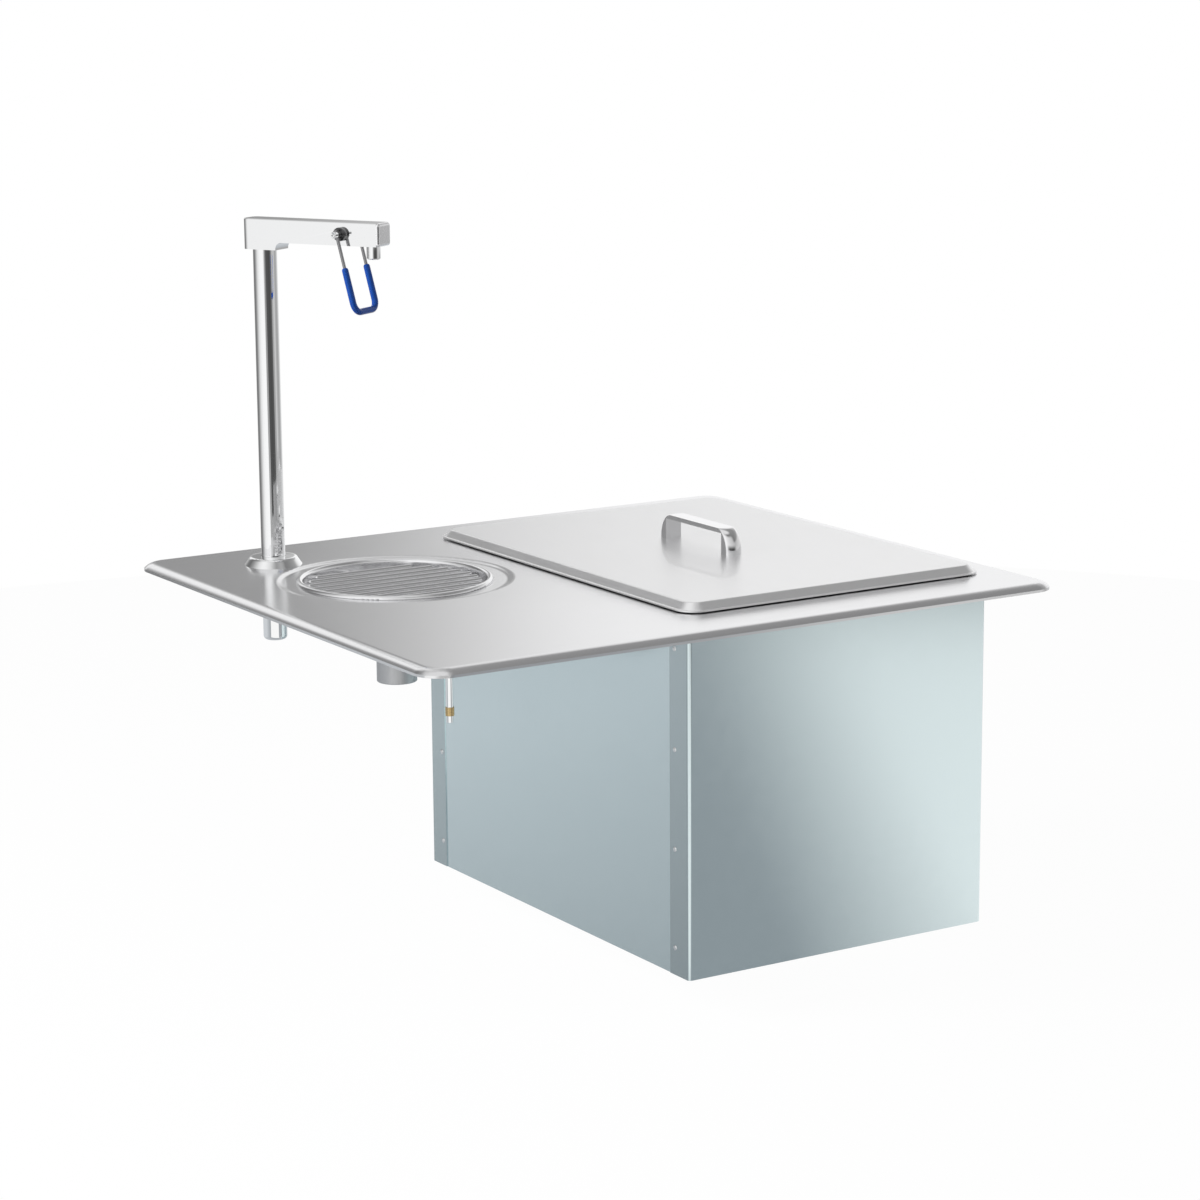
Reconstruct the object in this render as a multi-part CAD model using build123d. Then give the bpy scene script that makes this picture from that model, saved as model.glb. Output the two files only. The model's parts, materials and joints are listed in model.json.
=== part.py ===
"""Drop-in ice bin with a glass filler for a bar or restaurant counter.

Frame, in millimetres: the origin is the centre of the plane on which the rim rests, +Z is up, X runs
along the long side from the glass filler to the ice bin, and the user stands on the -Y side.
Everything above Z = 0 shows on the counter and everything below it hangs in the cut-out.
"""

import os
from math import atan, cos, degrees, sin

from build123d import *

# Deck: one pressing with a raised field, a convex bevelled edge, a short lip and a folded hem
DECK_LENGTH = 650.0
DECK_WIDTH = 560.0
DECK_CORNER = 25.0
DECK_SHEET = 1.2
DECK_HEIGHT = 7.0
DECK_LIP = 2.3
BEVEL_WIDTH = 11.0
HEM_WIDTH = 14.0

# Mouth of the ice bin: it takes what the filler's bay and the margins leave of the deck. The deck turns
# up round it, and the bin's walls run down flush with it
FILLER_BAY = 310.5
MOUTH_SIDE_MARGIN = 51.5
MOUTH_FRONT_MARGIN = 83.0
MOUTH_BACK_MARGIN = 69.0
MOUTH_CORNER = 22.0
COAMING_HEIGHT = 7.0
COAMING_BEND = 2.0

# Ice bin and its foam
BIN_SHEET = 1.2
BIN_DEPTH = 290.0
BIN_FLOOR_BEND = 16.0
BIN_LIP = 10.0
DISH_RADIUS = 55.0
DISH_FLAT = 26.0
DISH_DEPTH = 5.0
FOAM_GAP = 0.3

# Galvanised casing: the front and back panels wrap round the side panels
CASING_LEFT_REACH = 20.5
CASING_RIGHT_REACH = 15.5
CASING_FRONT_REACH = 21.0
CASING_BACK_REACH = 29.0
CASING_UNDER_BIN = 30.0
CASING_SHEET = 0.8
CASING_BEND = 2.0
FRONT_WRAP = 30.0
BACK_WRAP = 28.0
RIVET_SHANK = 1.6
RIVET_HEAD = 2.5
RIVET_CROWN = 1.75
RIVET_HEAD_HEIGHT = 1.0
RIVET_INSET = 22.0
RIVET_FIRST = -25.0
RIVET_FROM_BOTTOM = 25.0
RIVETS_PER_SEAM = 4

# Lid and its bow handle
LID_SIDE_REACH = 18.5
LID_END_REACH = 16.5
LID_CORNER = 20.0
LID_SHEET = 1.2
LID_SEAT_GAP = 0.3
LID_SKIRT = 7.5
LID_FLANGE = 2.6
LID_SLOPE = 5.4
LID_BEND = 2.5
LID_FOOT_BEND = 0.8
HANDLE_LENGTH = 117.5
HANDLE_BREADTH = 17.0
HANDLE_HEIGHT = 23.7
HANDLE_WINDOW = 97.0
HANDLE_BAR = 4.0
HANDLE_SHOULDER = 15.0
HANDLE_FOOT_RISE = 2.0
HANDLE_EDGE_ROUND = 1.2
SCREW_RADIUS = 2.5
SCREW_HEAD_RADIUS = 4.5
SCREW_HEAD_HEIGHT = 2.8
SCREW_DEPTH = 10.0
WASHER_RADIUS = 6.0
WASHER_HEIGHT = 1.0

# Round recess of the deck, and the drip cup that sits in it
CUP_FROM_LEFT = 161.8
CUP_FROM_BACK = 209.4
RECESS_RADIUS = 110.0
RECESS_DEPTH = 1.7
RECESS_RUN = 4.0
CUP_RIM_RADIUS = 90.0
CUP_RADIUS = 83.3
CUP_SHEET = 1.0
CUP_HOLE_CLEARANCE = 0.5
LEDGE_DEPTH = 10.2
LEDGE_WIDTH = 6.3
LEDGE_BEND = 1.5
CUP_WALL_DEPTH = 27.0
CUP_FLOOR_RISE = 10.0
CUP_BEND = 9.0
CUP_FLOOR_RADIUS = 27.0

# Wire grate
GRATE_RADIUS = 80.0
GRATE_WIRE = 4.8
GRATE_PITCH = 15.2
GRATE_BARS = 9
GRATE_CROSS_PITCH = 30.0
GRATE_CROSS_WIRES = 5
GRATE_WELD = 0.3
GRATE_SEAT_GAP = 0.3

# Drain of the cup: a threaded body that narrows to the tailpiece below its locknut
CUP_THREAD_RADIUS = 20.0
TAILPIECE_RADIUS = 18.5
TAILPIECE_BORE = 16.5
TAILPIECE_BOTTOM = -88.4
TAILPIECE_ROUND = 1.0
CUP_DRAIN_FLANGE = 25.0
CUP_DRAIN_FLANGE_HEIGHT = 1.5
CUP_DRAIN_BARS = 2.5
CUP_GASKET_RADIUS = 25.5
CUP_GASKET_HEIGHT = 2.0
CUP_NUT_FLATS = 48.0
CUP_NUT_HEIGHT = 6.0
NUT_EXPOSED_THREAD = 2.0
NUT_CORNER = 0.56

# Drain of the ice bin, threaded down to just below its locknut
BIN_THREAD_RADIUS = 17.5
NIPPLE_RADIUS = 16.7
NIPPLE_BORE = 13.0
NIPPLE_UNDER_CASING = 40.0
BIN_DRAIN_FLANGE = 24.0
BIN_DRAIN_FLANGE_HEIGHT = 1.5
BIN_GASKET_RADIUS = 26.0
BIN_GASKET_HEIGHT = 2.0
BIN_NUT_FLATS = 46.0
BIN_NUT_HEIGHT = 9.0
STRAINER_RADIUS = 22.0
STRAINER_HEIGHT = 1.2
STRAINER_HOLE = 2.2
STRAINER_RING = 11.0
STRAINER_HOLES = 6
THREAD_CLEARANCE = 0.1

# Column of the glass filler and its shank through the deck
COLUMN_FROM_LEFT = 100.7
COLUMN_FROM_BACK = 86.4
COLUMN_RADIUS = 11.1
COLUMN_WALL = 1.8
COLUMN_TOP = 300.0
SPIGOT_RADIUS = 8.5
SPIGOT_LENGTH = 10.0
WATERWAY_RADIUS = 3.5
SHANK_BOTTOM = -64.0
SHANK_ROUND = 3.5
SHANK_COLLAR = 15.0
SHANK_COLLAR_HEIGHT = 2.5
SHANK_SPIGOT = 14.0
SHANK_HOLE_CLEARANCE = 0.4
COLUMN_GASKET_HEIGHT = 1.0
COLUMN_WASHER_RADIUS = 19.0
COLUMN_WASHER_HEIGHT = 1.5
COLUMN_NUT_FLATS = 30.0
COLUMN_NUT_HEIGHT = 6.0
ESCUTCHEON_BASE = 26.7
ESCUTCHEON_TOP = 21.6
ESCUTCHEON_HEIGHT = 8.2
ESCUTCHEON_CROWN = 0.8
ESCUTCHEON_WALL = 1.2
ESCUTCHEON_CLEARANCE = 0.2

# Arm: a block whose local X runs from the column towards the nozzle
ARM_HEADING = -59.0
ARM_WIDTH = 22.0
ARM_BOTTOM = 307.0
ARM_TOP = 328.0
ARM_BACK = 18.0
ARM_REACH = 127.0
ARM_END_ROUND = 7.0
ARM_EDGE_ROUND = 1.2
BOSS_FRONT = 18.0
BOSS_FILLET = 6.0
END_CAP_PLATE = 3.0
END_CAP_PLUG = 6.0
END_CAP_CLEARANCE = 0.05
VALVE_BORE = 6.5
VALVE_BORE_HEIGHT = 10.5
VALVE_BORE_START = 36.0
NOZZLE_FROM_END = 12.0
NOZZLE_RADIUS = 6.4
NOZZLE_LENGTH = 12.0
NOZZLE_BORE = 4.0
NOZZLE_SPIGOT = 5.2
NOZZLE_CHAMFER = 1.0

# Lever shaft with its bushes, seals and cam
PIVOT_REACH = 88.0
PIN_RADIUS = 3.0
PIN_HALF = 24.5
PIN_CHAMFER = 0.4
PIN_SOCKET_RADIUS = 1.6
PIN_SOCKET_DEPTH = 2.0
PIN_FIT = 0.05
BUSH_BARREL = 5.1
BUSH_FLANGE = 6.2
BUSH_FLANGE_HEIGHT = 4.0
BUSH_START = 7.0
ORING_WIRE = 0.95
CAM_HUB = 4.2
CAM_HALF_WIDTH = 2.0
NOSE_X = -3.4
NOSE_Z = -4.3
NOSE_RADIUS = 1.4

# Lever: a U of wire through the pin, with a dipped grip
LEVER_LEAN = 14.5
LEVER_WIRE = 1.5
LEVER_SPREAD = 18.8
LEVER_DROP = 71.5
LEVER_STUB = 4.5
LEVER_CORNER = 9.0
GRIP_RADIUS = 3.0
GRIP_START = 30.5
GRIP_FIT = 0.02

# Valve inside the arm
SEAT_START = 61.5
SEAT_LENGTH = 5.0
SEAT_FIT = 0.05
SEAT_BORE = 3.3
SEAT_LIP = 0.8
SEAT_LIP_WALL = 0.9
SEAT_GROOVE = 2.0
STEM_RADIUS = 1.8
FOLLOWER_RADIUS = 6.2
FOLLOWER_THICKNESS = 2.0
FOLLOWER_GAP = 0.15
FOLLOWER_SLOT = 2.4
SEAL_RADIUS = 5.2
SEAL_THICKNESS = 2.0
SEAL_GAP = 0.15
POPPET_RADIUS = 5.6
POPPET_THICKNESS = 2.4
TAIL_RADIUS = 2.4
TAIL_LENGTH = 8.0
SPRING_WIRE = 0.5
SPRING_WIRE_SIDES = 12
SPRING_RADIUS = 4.0
SPRING_TURNS = 6
SPRING_GAP = 0.4
VALVE_STROKE = 1.1

# Supply tube under the deck
TUBE_RADIUS = 3.175
TUBE_BORE = 2.2
TUBE_LEVEL = -12.0
TUBE_FROM_LEFT = 44.0
TUBE_DROP_FROM_LEFT = 110.0
TUBE_DROP_FROM_FRONT = 161.5
TUBE_BOTTOM = -81.6
TUBE_BEND = 22.0
TUBE_END_RADIUS = 3.0
FERRULE_RADIUS = 3.9
FERRULE_LENGTH = 7.5
FERRULE_INSET = 6.0
CONNECTOR_FLATS = 11.0
CONNECTOR_BODY = 9.0
CONNECTOR_NUT_FLATS = 12.5
CONNECTOR_NUT = 8.0
CONNECTOR_SPIGOT = 3.0
CLIP_FROM_COLUMN = 93.6
CLIP_FROM_DROP = 78.5
CLIP_WIDTH = 8.0
CLIP_SHEET = 1.0
CLIP_FOOT = 12.0

# Sizes, heights and places that follow from the sizes above
MOUTH_LENGTH = DECK_LENGTH - FILLER_BAY - MOUTH_SIDE_MARGIN
MOUTH_WIDTH = DECK_WIDTH - MOUTH_FRONT_MARGIN - MOUTH_BACK_MARGIN
MOUTH_X = (FILLER_BAY - MOUTH_SIDE_MARGIN) / 2
MOUTH_Y = (MOUTH_FRONT_MARGIN - MOUTH_BACK_MARGIN) / 2
CASING_LENGTH = MOUTH_LENGTH + CASING_LEFT_REACH + CASING_RIGHT_REACH
CASING_WIDTH = MOUTH_WIDTH + CASING_FRONT_REACH + CASING_BACK_REACH
CASING_X = MOUTH_X + (CASING_RIGHT_REACH - CASING_LEFT_REACH) / 2
CASING_Y = MOUTH_Y + (CASING_BACK_REACH - CASING_FRONT_REACH) / 2
LID_LENGTH = MOUTH_LENGTH + 2 * LID_SIDE_REACH
LID_WIDTH = MOUTH_WIDTH + 2 * LID_END_REACH
CUP_X = CUP_FROM_LEFT - DECK_LENGTH / 2
CUP_Y = DECK_WIDTH / 2 - CUP_FROM_BACK
COLUMN_X = COLUMN_FROM_LEFT - DECK_LENGTH / 2
COLUMN_Y = DECK_WIDTH / 2 - COLUMN_FROM_BACK
TUBE_SIDE_X = TUBE_FROM_LEFT - DECK_LENGTH / 2
TUBE_DROP_X = TUBE_DROP_FROM_LEFT - DECK_LENGTH / 2
TUBE_DROP_Y = TUBE_DROP_FROM_FRONT - DECK_WIDTH / 2
CLIP_PLACES = (COLUMN_Y - CLIP_FROM_COLUMN, TUBE_DROP_Y + CLIP_FROM_DROP)
DECK_UNDERSIDE = DECK_HEIGHT - DECK_SHEET
CASING_TOP = DECK_UNDERSIDE - BIN_SHEET
COAMING_TOP = DECK_HEIGHT + COAMING_HEIGHT
LID_UNDERSIDE = COAMING_TOP + LID_SEAT_GAP
LID_TOP = LID_UNDERSIDE + LID_SHEET
BIN_FLOOR = -BIN_DEPTH
CASING_BOTTOM = BIN_FLOOR - CASING_UNDER_BIN
RIVET_LAST = CASING_BOTTOM + RIVET_FROM_BOTTOM
NIPPLE_BOTTOM = CASING_BOTTOM - NIPPLE_UNDER_CASING
RECESS_FLOOR = DECK_HEIGHT - RECESS_DEPTH
LEDGE_TOP = RECESS_FLOOR - LEDGE_DEPTH
CUP_FLOOR = RECESS_FLOOR - CUP_WALL_DEPTH - CUP_FLOOR_RISE
BORE_Z = ARM_BOTTOM + VALVE_BORE_HEIGHT
NOZZLE_REACH = ARM_REACH - NOZZLE_FROM_END
NOSE_FACE = PIVOT_REACH + NOSE_X - NOSE_RADIUS
FOLLOWER_FACE = NOSE_FACE - FOLLOWER_GAP
SEAL_FACE = SEAT_START - SEAT_LIP - SEAL_GAP
POPPET_FACE = SEAL_FACE - SEAL_THICKNESS
POPPET_BACK = POPPET_FACE - POPPET_THICKNESS
SHANK_TOP = DECK_HEIGHT + COLUMN_GASKET_HEIGHT + SHANK_COLLAR_HEIGHT

AT_MOUTH = Pos(MOUTH_X, MOUTH_Y, 0)
AT_CASING = Pos(CASING_X, CASING_Y, 0)
AT_CUP = Pos(CUP_X, CUP_Y, 0)
AT_COLUMN = Pos(COLUMN_X, COLUMN_Y, 0)
AT_ARM = AT_COLUMN * Rot(0, 0, ARM_HEADING)
AT_PIVOT = AT_ARM * Pos(PIVOT_REACH, 0, BORE_Z)


# Basic forms

def disc(radius, bottom, top):
    """Upright cylinder on the Z axis."""
    return extrude(Plane.XY.offset(bottom) * Circle(radius), top - bottom)


def tube(outer, bore, bottom, top):
    """Upright tube on the Z axis."""
    return disc(outer, bottom, top) - disc(bore, bottom, top)


def plate(length, width, corner, bottom, top):
    """Flat plate with rounded corners, centred on the Z axis."""
    return extrude(Plane.XY.offset(bottom) * RectangleRounded(length, width, corner), top - bottom)


def block(x_min, x_max, y_min, y_max, bottom, top):
    """Box given by its limits."""
    size = (x_max - x_min, y_max - y_min, top - bottom)
    return Pos(x_min, y_min, bottom) * Box(*size, align=(Align.MIN, Align.MIN, Align.MIN))


def rod(radius, start, end, height):
    """Round bar along local X."""
    return Pos(start, 0, height) * Rot(0, 90, 0) * disc(radius, 0, end - start)


def cross_rod(radius, start, end):
    """Round bar along local Y through the origin."""
    return Pos(0, start, 0) * Rot(-90, 0, 0) * disc(radius, 0, end - start)


def hex_nut(flats, bore, bottom, top):
    """Hexagonal nut on the Z axis with lightly turned corners."""
    body = extrude(Plane.XY.offset(bottom) * RegularPolygon(flats / 2, 6, major_radius=False), top - bottom)
    return body & disc(flats * NUT_CORNER, bottom, top) - disc(bore, bottom, top)


def profile(points):
    """Closed face in the XZ plane from (radius, height) points."""
    return Plane.XZ * make_face(Polyline(*points, close=True))


def turned(points):
    """Solid of revolution about the Z axis from (radius, height) points."""
    return revolve(profile(points), Axis.Z)


def sheet_section(points, bends, thickness, side):
    """Section of a bent sheet: a line with rounded bends, thickened to one side."""
    return make_face(offset(FilletPolyline(*points, radius=bends), amount=thickness, side=side))


def ring(section, length, width, corner):
    """Carry a section round a rounded rectangle.

    In the section, local X points inwards from the outline and local Y points up.
    """
    whole = Part()
    for quarter in range(4):
        along, across = (length, width) if quarter % 2 == 0 else (width, length)
        reach, run = along / 2, across / 2 - corner
        middle = Plane((reach, 0, 0), x_dir=(-1, 0, 0), z_dir=(0, 1, 0))
        side = extrude(middle * section, run, both=True)
        end = Plane((reach, run, 0), x_dir=(-1, 0, 0), z_dir=(0, 1, 0))
        bend = revolve(end * section, Axis((reach - corner, run, 0), (0, 0, 1)), 90)
        whole += Rot(0, 0, 90 * quarter) * (side + bend)
    return whole


# Deck

def edge_section():
    """Edge of the deck: bevel arc, lip and hem, with X inwards from the outline."""
    drop = DECK_HEIGHT - DECK_LIP
    radius = (BEVEL_WIDTH**2 + drop**2) / (2 * drop)
    centre_z = DECK_HEIGHT - radius
    inner = radius - DECK_SHEET
    inner_lip = centre_z + (inner**2 - (BEVEL_WIDTH - DECK_SHEET) ** 2) ** 0.5
    half = atan(BEVEL_WIDTH / (radius - drop)) / 2

    def on_bevel(arc_radius, angle):
        return BEVEL_WIDTH - arc_radius * sin(angle), centre_z + arc_radius * cos(angle)

    outer_arc = ThreePointArc((BEVEL_WIDTH, DECK_HEIGHT), on_bevel(radius, half), (0, DECK_LIP))
    inner_half = atan((BEVEL_WIDTH - DECK_SHEET) / (inner_lip - centre_z)) / 2
    inner_arc = ThreePointArc(
        (DECK_SHEET, inner_lip), on_bevel(inner, inner_half), (BEVEL_WIDTH, DECK_UNDERSIDE)
    )
    hem = Polyline((0, DECK_LIP), (0, 0), (HEM_WIDTH, 0), (HEM_WIDTH, DECK_SHEET),
                   (DECK_SHEET, DECK_SHEET), (DECK_SHEET, inner_lip))
    field = Line((BEVEL_WIDTH, DECK_UNDERSIDE), (BEVEL_WIDTH, DECK_HEIGHT))
    return make_face([outer_arc, *hem.edges(), inner_arc, field])


def coaming_section():
    """Sheet that turns up round the mouth, with X inwards from where the bend starts."""
    wall_x = COAMING_BEND + DECK_SHEET
    top_bend = JernArc((0, DECK_HEIGHT), (1, 0), COAMING_BEND, 90)
    low_bend = JernArc((0, DECK_UNDERSIDE), (1, 0), wall_x, 90)
    wall = Polyline(top_bend @ 1, (COAMING_BEND, COAMING_TOP), (wall_x, COAMING_TOP), low_bend @ 1)
    return make_face([top_bend, *wall.edges(), low_bend, Line(top_bend @ 0, low_bend @ 0)])


def recess_pan():
    """Round recess in the field, reached by an S-shaped step, up to the hole for the cup."""
    turn = 2 * degrees(atan(RECESS_DEPTH / RECESS_RUN))
    bend = (RECESS_RUN**2 + RECESS_DEPTH**2) / (4 * RECESS_DEPTH)
    hole = CUP_RADIUS + CUP_SHEET + CUP_HOLE_CLEARANCE

    def step(level, first, second):
        down = JernArc((RECESS_RADIUS, level), (-1, 0), first, turn)
        return [down, JernArc(down @ 1, down % 1, second, -turn)]

    upper = step(DECK_HEIGHT, bend, bend)
    lower = step(DECK_UNDERSIDE, bend - DECK_SHEET, bend + DECK_SHEET)
    inner = Polyline(upper[1] @ 1, (hole, RECESS_FLOOR), (hole, RECESS_FLOOR - DECK_SHEET), lower[1] @ 1)
    outer = Line(lower[0] @ 0, upper[0] @ 0)
    return revolve(Plane.XZ * make_face([*upper, *inner.edges(), *lower, outer]), Axis.Z)


def deck_top():
    """Deck with its edge, coaming, cup recess and the hole for the shank."""
    edge = ring(edge_section(), DECK_LENGTH, DECK_WIDTH, DECK_CORNER)
    field = plate(DECK_LENGTH - 2 * BEVEL_WIDTH, DECK_WIDTH - 2 * BEVEL_WIDTH,
                  DECK_CORNER - BEVEL_WIDTH, DECK_UNDERSIDE, DECK_HEIGHT)
    grow = COAMING_BEND + DECK_SHEET
    bent = (MOUTH_LENGTH + 2 * grow, MOUTH_WIDTH + 2 * grow, MOUTH_CORNER + grow)
    field -= AT_MOUTH * plate(*bent, DECK_UNDERSIDE, DECK_HEIGHT)
    field -= AT_CUP * disc(RECESS_RADIUS, DECK_UNDERSIDE, DECK_HEIGHT)
    field -= AT_COLUMN * disc(COLUMN_RADIUS + SHANK_HOLE_CLEARANCE, DECK_UNDERSIDE, DECK_HEIGHT)
    return edge + field + AT_MOUTH * ring(coaming_section(), *bent) + AT_CUP * recess_pan()


# Drip cup

def cup_section():
    """Section of the spun cup from its bead to the drain hole."""
    inner = [(CUP_RADIUS, RECESS_FLOOR), (CUP_RADIUS, LEDGE_TOP), (CUP_RADIUS - LEDGE_WIDTH, LEDGE_TOP),
             (CUP_RADIUS - LEDGE_WIDTH, RECESS_FLOOR - CUP_WALL_DEPTH),
             (CUP_FLOOR_RADIUS, CUP_FLOOR), (CUP_THREAD_RADIUS + THREAD_CLEARANCE, CUP_FLOOR)]
    return sheet_section(inner, [LEDGE_BEND, LEDGE_BEND, CUP_BEND, CUP_BEND], CUP_SHEET, Side.LEFT)


def drip_cup():
    """Cup with the half-round bead that lies on the floor of the recess."""
    middle = (CUP_RIM_RADIUS + CUP_RADIUS) / 2
    bead_radius = (CUP_RIM_RADIUS - CUP_RADIUS) / 2
    arc = ThreePointArc((CUP_RADIUS, RECESS_FLOOR), (middle, RECESS_FLOOR + bead_radius),
                        (CUP_RIM_RADIUS, RECESS_FLOOR))
    bead = make_face([arc, Line((CUP_RIM_RADIUS, RECESS_FLOOR), (CUP_RADIUS, RECESS_FLOOR))])
    shell = revolve(Plane.XZ * cup_section(), Axis.Z)
    return AT_CUP * (shell + revolve(Plane.XZ * bead, Axis.Z))


def drip_grate():
    """Bars along X on cross wires along Y, all cut to one circle and welded where they cross."""
    radius = GRATE_WIRE / 2
    cross_z = LEDGE_TOP + GRATE_SEAT_GAP + radius
    bar_z = cross_z + GRATE_WIRE - GRATE_WELD
    grate = Part()
    for bar in range(GRATE_BARS):
        y = (bar - (GRATE_BARS - 1) / 2) * GRATE_PITCH
        half = (GRATE_RADIUS**2 - y**2) ** 0.5
        grate += Pos(0, y, 0) * rod(radius, -half, half, bar_z)
    for wire in range(GRATE_CROSS_WIRES):
        x = (wire - (GRATE_CROSS_WIRES - 1) / 2) * GRATE_CROSS_PITCH
        half = (GRATE_RADIUS**2 - x**2) ** 0.5
        grate += Pos(x, 0, cross_z) * cross_rod(radius, -half, half)
    return AT_CUP * grate


def cup_drain():
    """Flanged drain with cross bars in its mouth and a long tailpiece."""
    top = CUP_FLOOR + CUP_DRAIN_FLANGE_HEIGHT
    thread_end = CUP_FLOOR - CUP_SHEET - CUP_GASKET_HEIGHT - CUP_NUT_HEIGHT - NUT_EXPOSED_THREAD
    pipe = disc(TAILPIECE_RADIUS, TAILPIECE_BOTTOM, top)
    pipe = fillet(pipe.edges().group_by(Axis.Z)[0], TAILPIECE_ROUND)
    body = pipe + disc(CUP_DRAIN_FLANGE, CUP_FLOOR, top) + disc(CUP_THREAD_RADIUS, thread_end, top)
    body -= disc(TAILPIECE_BORE, TAILPIECE_BOTTOM, top)
    bar = block(-TAILPIECE_BORE, TAILPIECE_BORE, -CUP_DRAIN_BARS / 2, CUP_DRAIN_BARS / 2, CUP_FLOOR, top)
    bars = (bar + Rot(0, 0, 90) * bar) & disc(TAILPIECE_BORE, CUP_FLOOR, top)
    return AT_CUP * (body + bars)


def cup_drain_gasket():
    """Rubber ring under the floor of the cup."""
    top = CUP_FLOOR - CUP_SHEET
    bore = CUP_THREAD_RADIUS + THREAD_CLEARANCE
    return AT_CUP * tube(CUP_GASKET_RADIUS, bore, top - CUP_GASKET_HEIGHT, top)


def cup_drain_nut():
    """Locknut that draws the drain down on the cup."""
    top = CUP_FLOOR - CUP_SHEET - CUP_GASKET_HEIGHT
    return AT_CUP * hex_nut(CUP_NUT_FLATS, CUP_THREAD_RADIUS + THREAD_CLEARANCE, top - CUP_NUT_HEIGHT, top)


# Column of the glass filler

def filler_column():
    """Upright tube, necked at its top to enter the arm."""
    body = tube(COLUMN_RADIUS, COLUMN_RADIUS - COLUMN_WALL, SHANK_TOP, COLUMN_TOP)
    neck_bottom = COLUMN_TOP - COLUMN_WALL
    neck = tube(SPIGOT_RADIUS, WATERWAY_RADIUS, neck_bottom, COLUMN_TOP + SPIGOT_LENGTH)
    web = tube(COLUMN_RADIUS, WATERWAY_RADIUS, neck_bottom, COLUMN_TOP)
    return AT_COLUMN * (body + web + neck)


def column_shank():
    """Shank with a collar on the deck, a spigot into the column and a side port for the supply."""
    bore = COLUMN_RADIUS - COLUMN_WALL
    body = disc(COLUMN_RADIUS, SHANK_BOTTOM, SHANK_TOP)
    body = fillet(body.edges().group_by(Axis.Z)[0], SHANK_ROUND)
    body += disc(SHANK_COLLAR, SHANK_TOP - SHANK_COLLAR_HEIGHT, SHANK_TOP)
    body += disc(bore - THREAD_CLEARANCE, SHANK_TOP, SHANK_TOP + SHANK_SPIGOT)
    body -= disc(WATERWAY_RADIUS, TUBE_LEVEL - WATERWAY_RADIUS, SHANK_TOP + SHANK_SPIGOT)
    body -= rod(CONNECTOR_SPIGOT + THREAD_CLEARANCE, -2 * COLUMN_RADIUS, 0, TUBE_LEVEL)
    return AT_COLUMN * body


def column_gasket():
    """Soft washer between the collar and the deck."""
    bore = COLUMN_RADIUS + THREAD_CLEARANCE
    return AT_COLUMN * tube(SHANK_COLLAR, bore, DECK_HEIGHT, DECK_HEIGHT + COLUMN_GASKET_HEIGHT)


def column_washer():
    """Flat washer against the underside of the deck."""
    bore = COLUMN_RADIUS + THREAD_CLEARANCE
    bottom = DECK_UNDERSIDE - COLUMN_WASHER_HEIGHT
    return AT_COLUMN * tube(COLUMN_WASHER_RADIUS, bore, bottom, DECK_UNDERSIDE)


def column_nut():
    """Locknut under the washer."""
    top = DECK_UNDERSIDE - COLUMN_WASHER_HEIGHT
    bore = COLUMN_RADIUS + THREAD_CLEARANCE
    return AT_COLUMN * hex_nut(COLUMN_NUT_FLATS, bore, top - COLUMN_NUT_HEIGHT, top)


def escutcheon():
    """Hollow cone that hides the collar."""
    bore = COLUMN_RADIUS + ESCUTCHEON_CLEARANCE
    shoulder = DECK_HEIGHT + ESCUTCHEON_HEIGHT - ESCUTCHEON_CROWN
    crown = DECK_HEIGHT + ESCUTCHEON_HEIGHT
    wall = ESCUTCHEON_WALL
    points = [(ESCUTCHEON_BASE, DECK_HEIGHT), (ESCUTCHEON_TOP, shoulder), (bore, crown), (bore, crown - wall),
              (ESCUTCHEON_TOP - wall, shoulder - wall), (ESCUTCHEON_BASE - wall, DECK_HEIGHT)]
    return AT_COLUMN * turned(points)


# Arm and nozzle

def arm_outline():
    """Side view of the arm: a bar with a boss under its column end."""
    front = ARM_REACH - END_CAP_PLATE
    outline = Polyline(
        (-ARM_BACK, ARM_TOP), (-ARM_BACK, COLUMN_TOP), (BOSS_FRONT, COLUMN_TOP), (BOSS_FRONT, ARM_BOTTOM),
        (front, ARM_BOTTOM), (front, ARM_TOP), close=True)
    return Plane.XZ * make_face(outline)


def filler_arm():
    """Cast arm with the column socket, waterway, valve bore, pivot bore and nozzle hole."""
    body = extrude(arm_outline(), ARM_WIDTH / 2, both=True)
    inner_corner = body.edges().filter_by(Axis.Y).sort_by_distance((BOSS_FRONT, 0, ARM_BOTTOM))[0]
    body = fillet(inner_corner, BOSS_FILLET)
    back = body.edges().filter_by(Axis.Z).group_by(Axis.X)[0]
    body = fillet(back, ARM_END_ROUND)
    top = body.faces().sort_by(Axis.Z)[-1]
    crown = [edge for edge in top.edges() if edge.center().X < ARM_REACH - END_CAP_PLATE - 1]
    body = fillet(crown, ARM_EDGE_ROUND)
    body -= disc(SPIGOT_RADIUS + THREAD_CLEARANCE, COLUMN_TOP, COLUMN_TOP + SPIGOT_LENGTH + THREAD_CLEARANCE)
    body -= disc(WATERWAY_RADIUS, COLUMN_TOP, BORE_Z)
    body -= rod(WATERWAY_RADIUS, 0, VALVE_BORE_START, BORE_Z)
    body -= rod(VALVE_BORE, VALVE_BORE_START, ARM_REACH, BORE_Z)
    body -= Pos(PIVOT_REACH, 0, BORE_Z) * cross_rod(BUSH_BARREL, -ARM_WIDTH, ARM_WIDTH)
    body -= Pos(NOZZLE_REACH, 0, 0) * disc(NOZZLE_SPIGOT, ARM_BOTTOM, BORE_Z)
    return AT_ARM * body


def oring(radius, wire):
    """Rubber ring on the Z axis."""
    return Torus(radius, wire)


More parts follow.
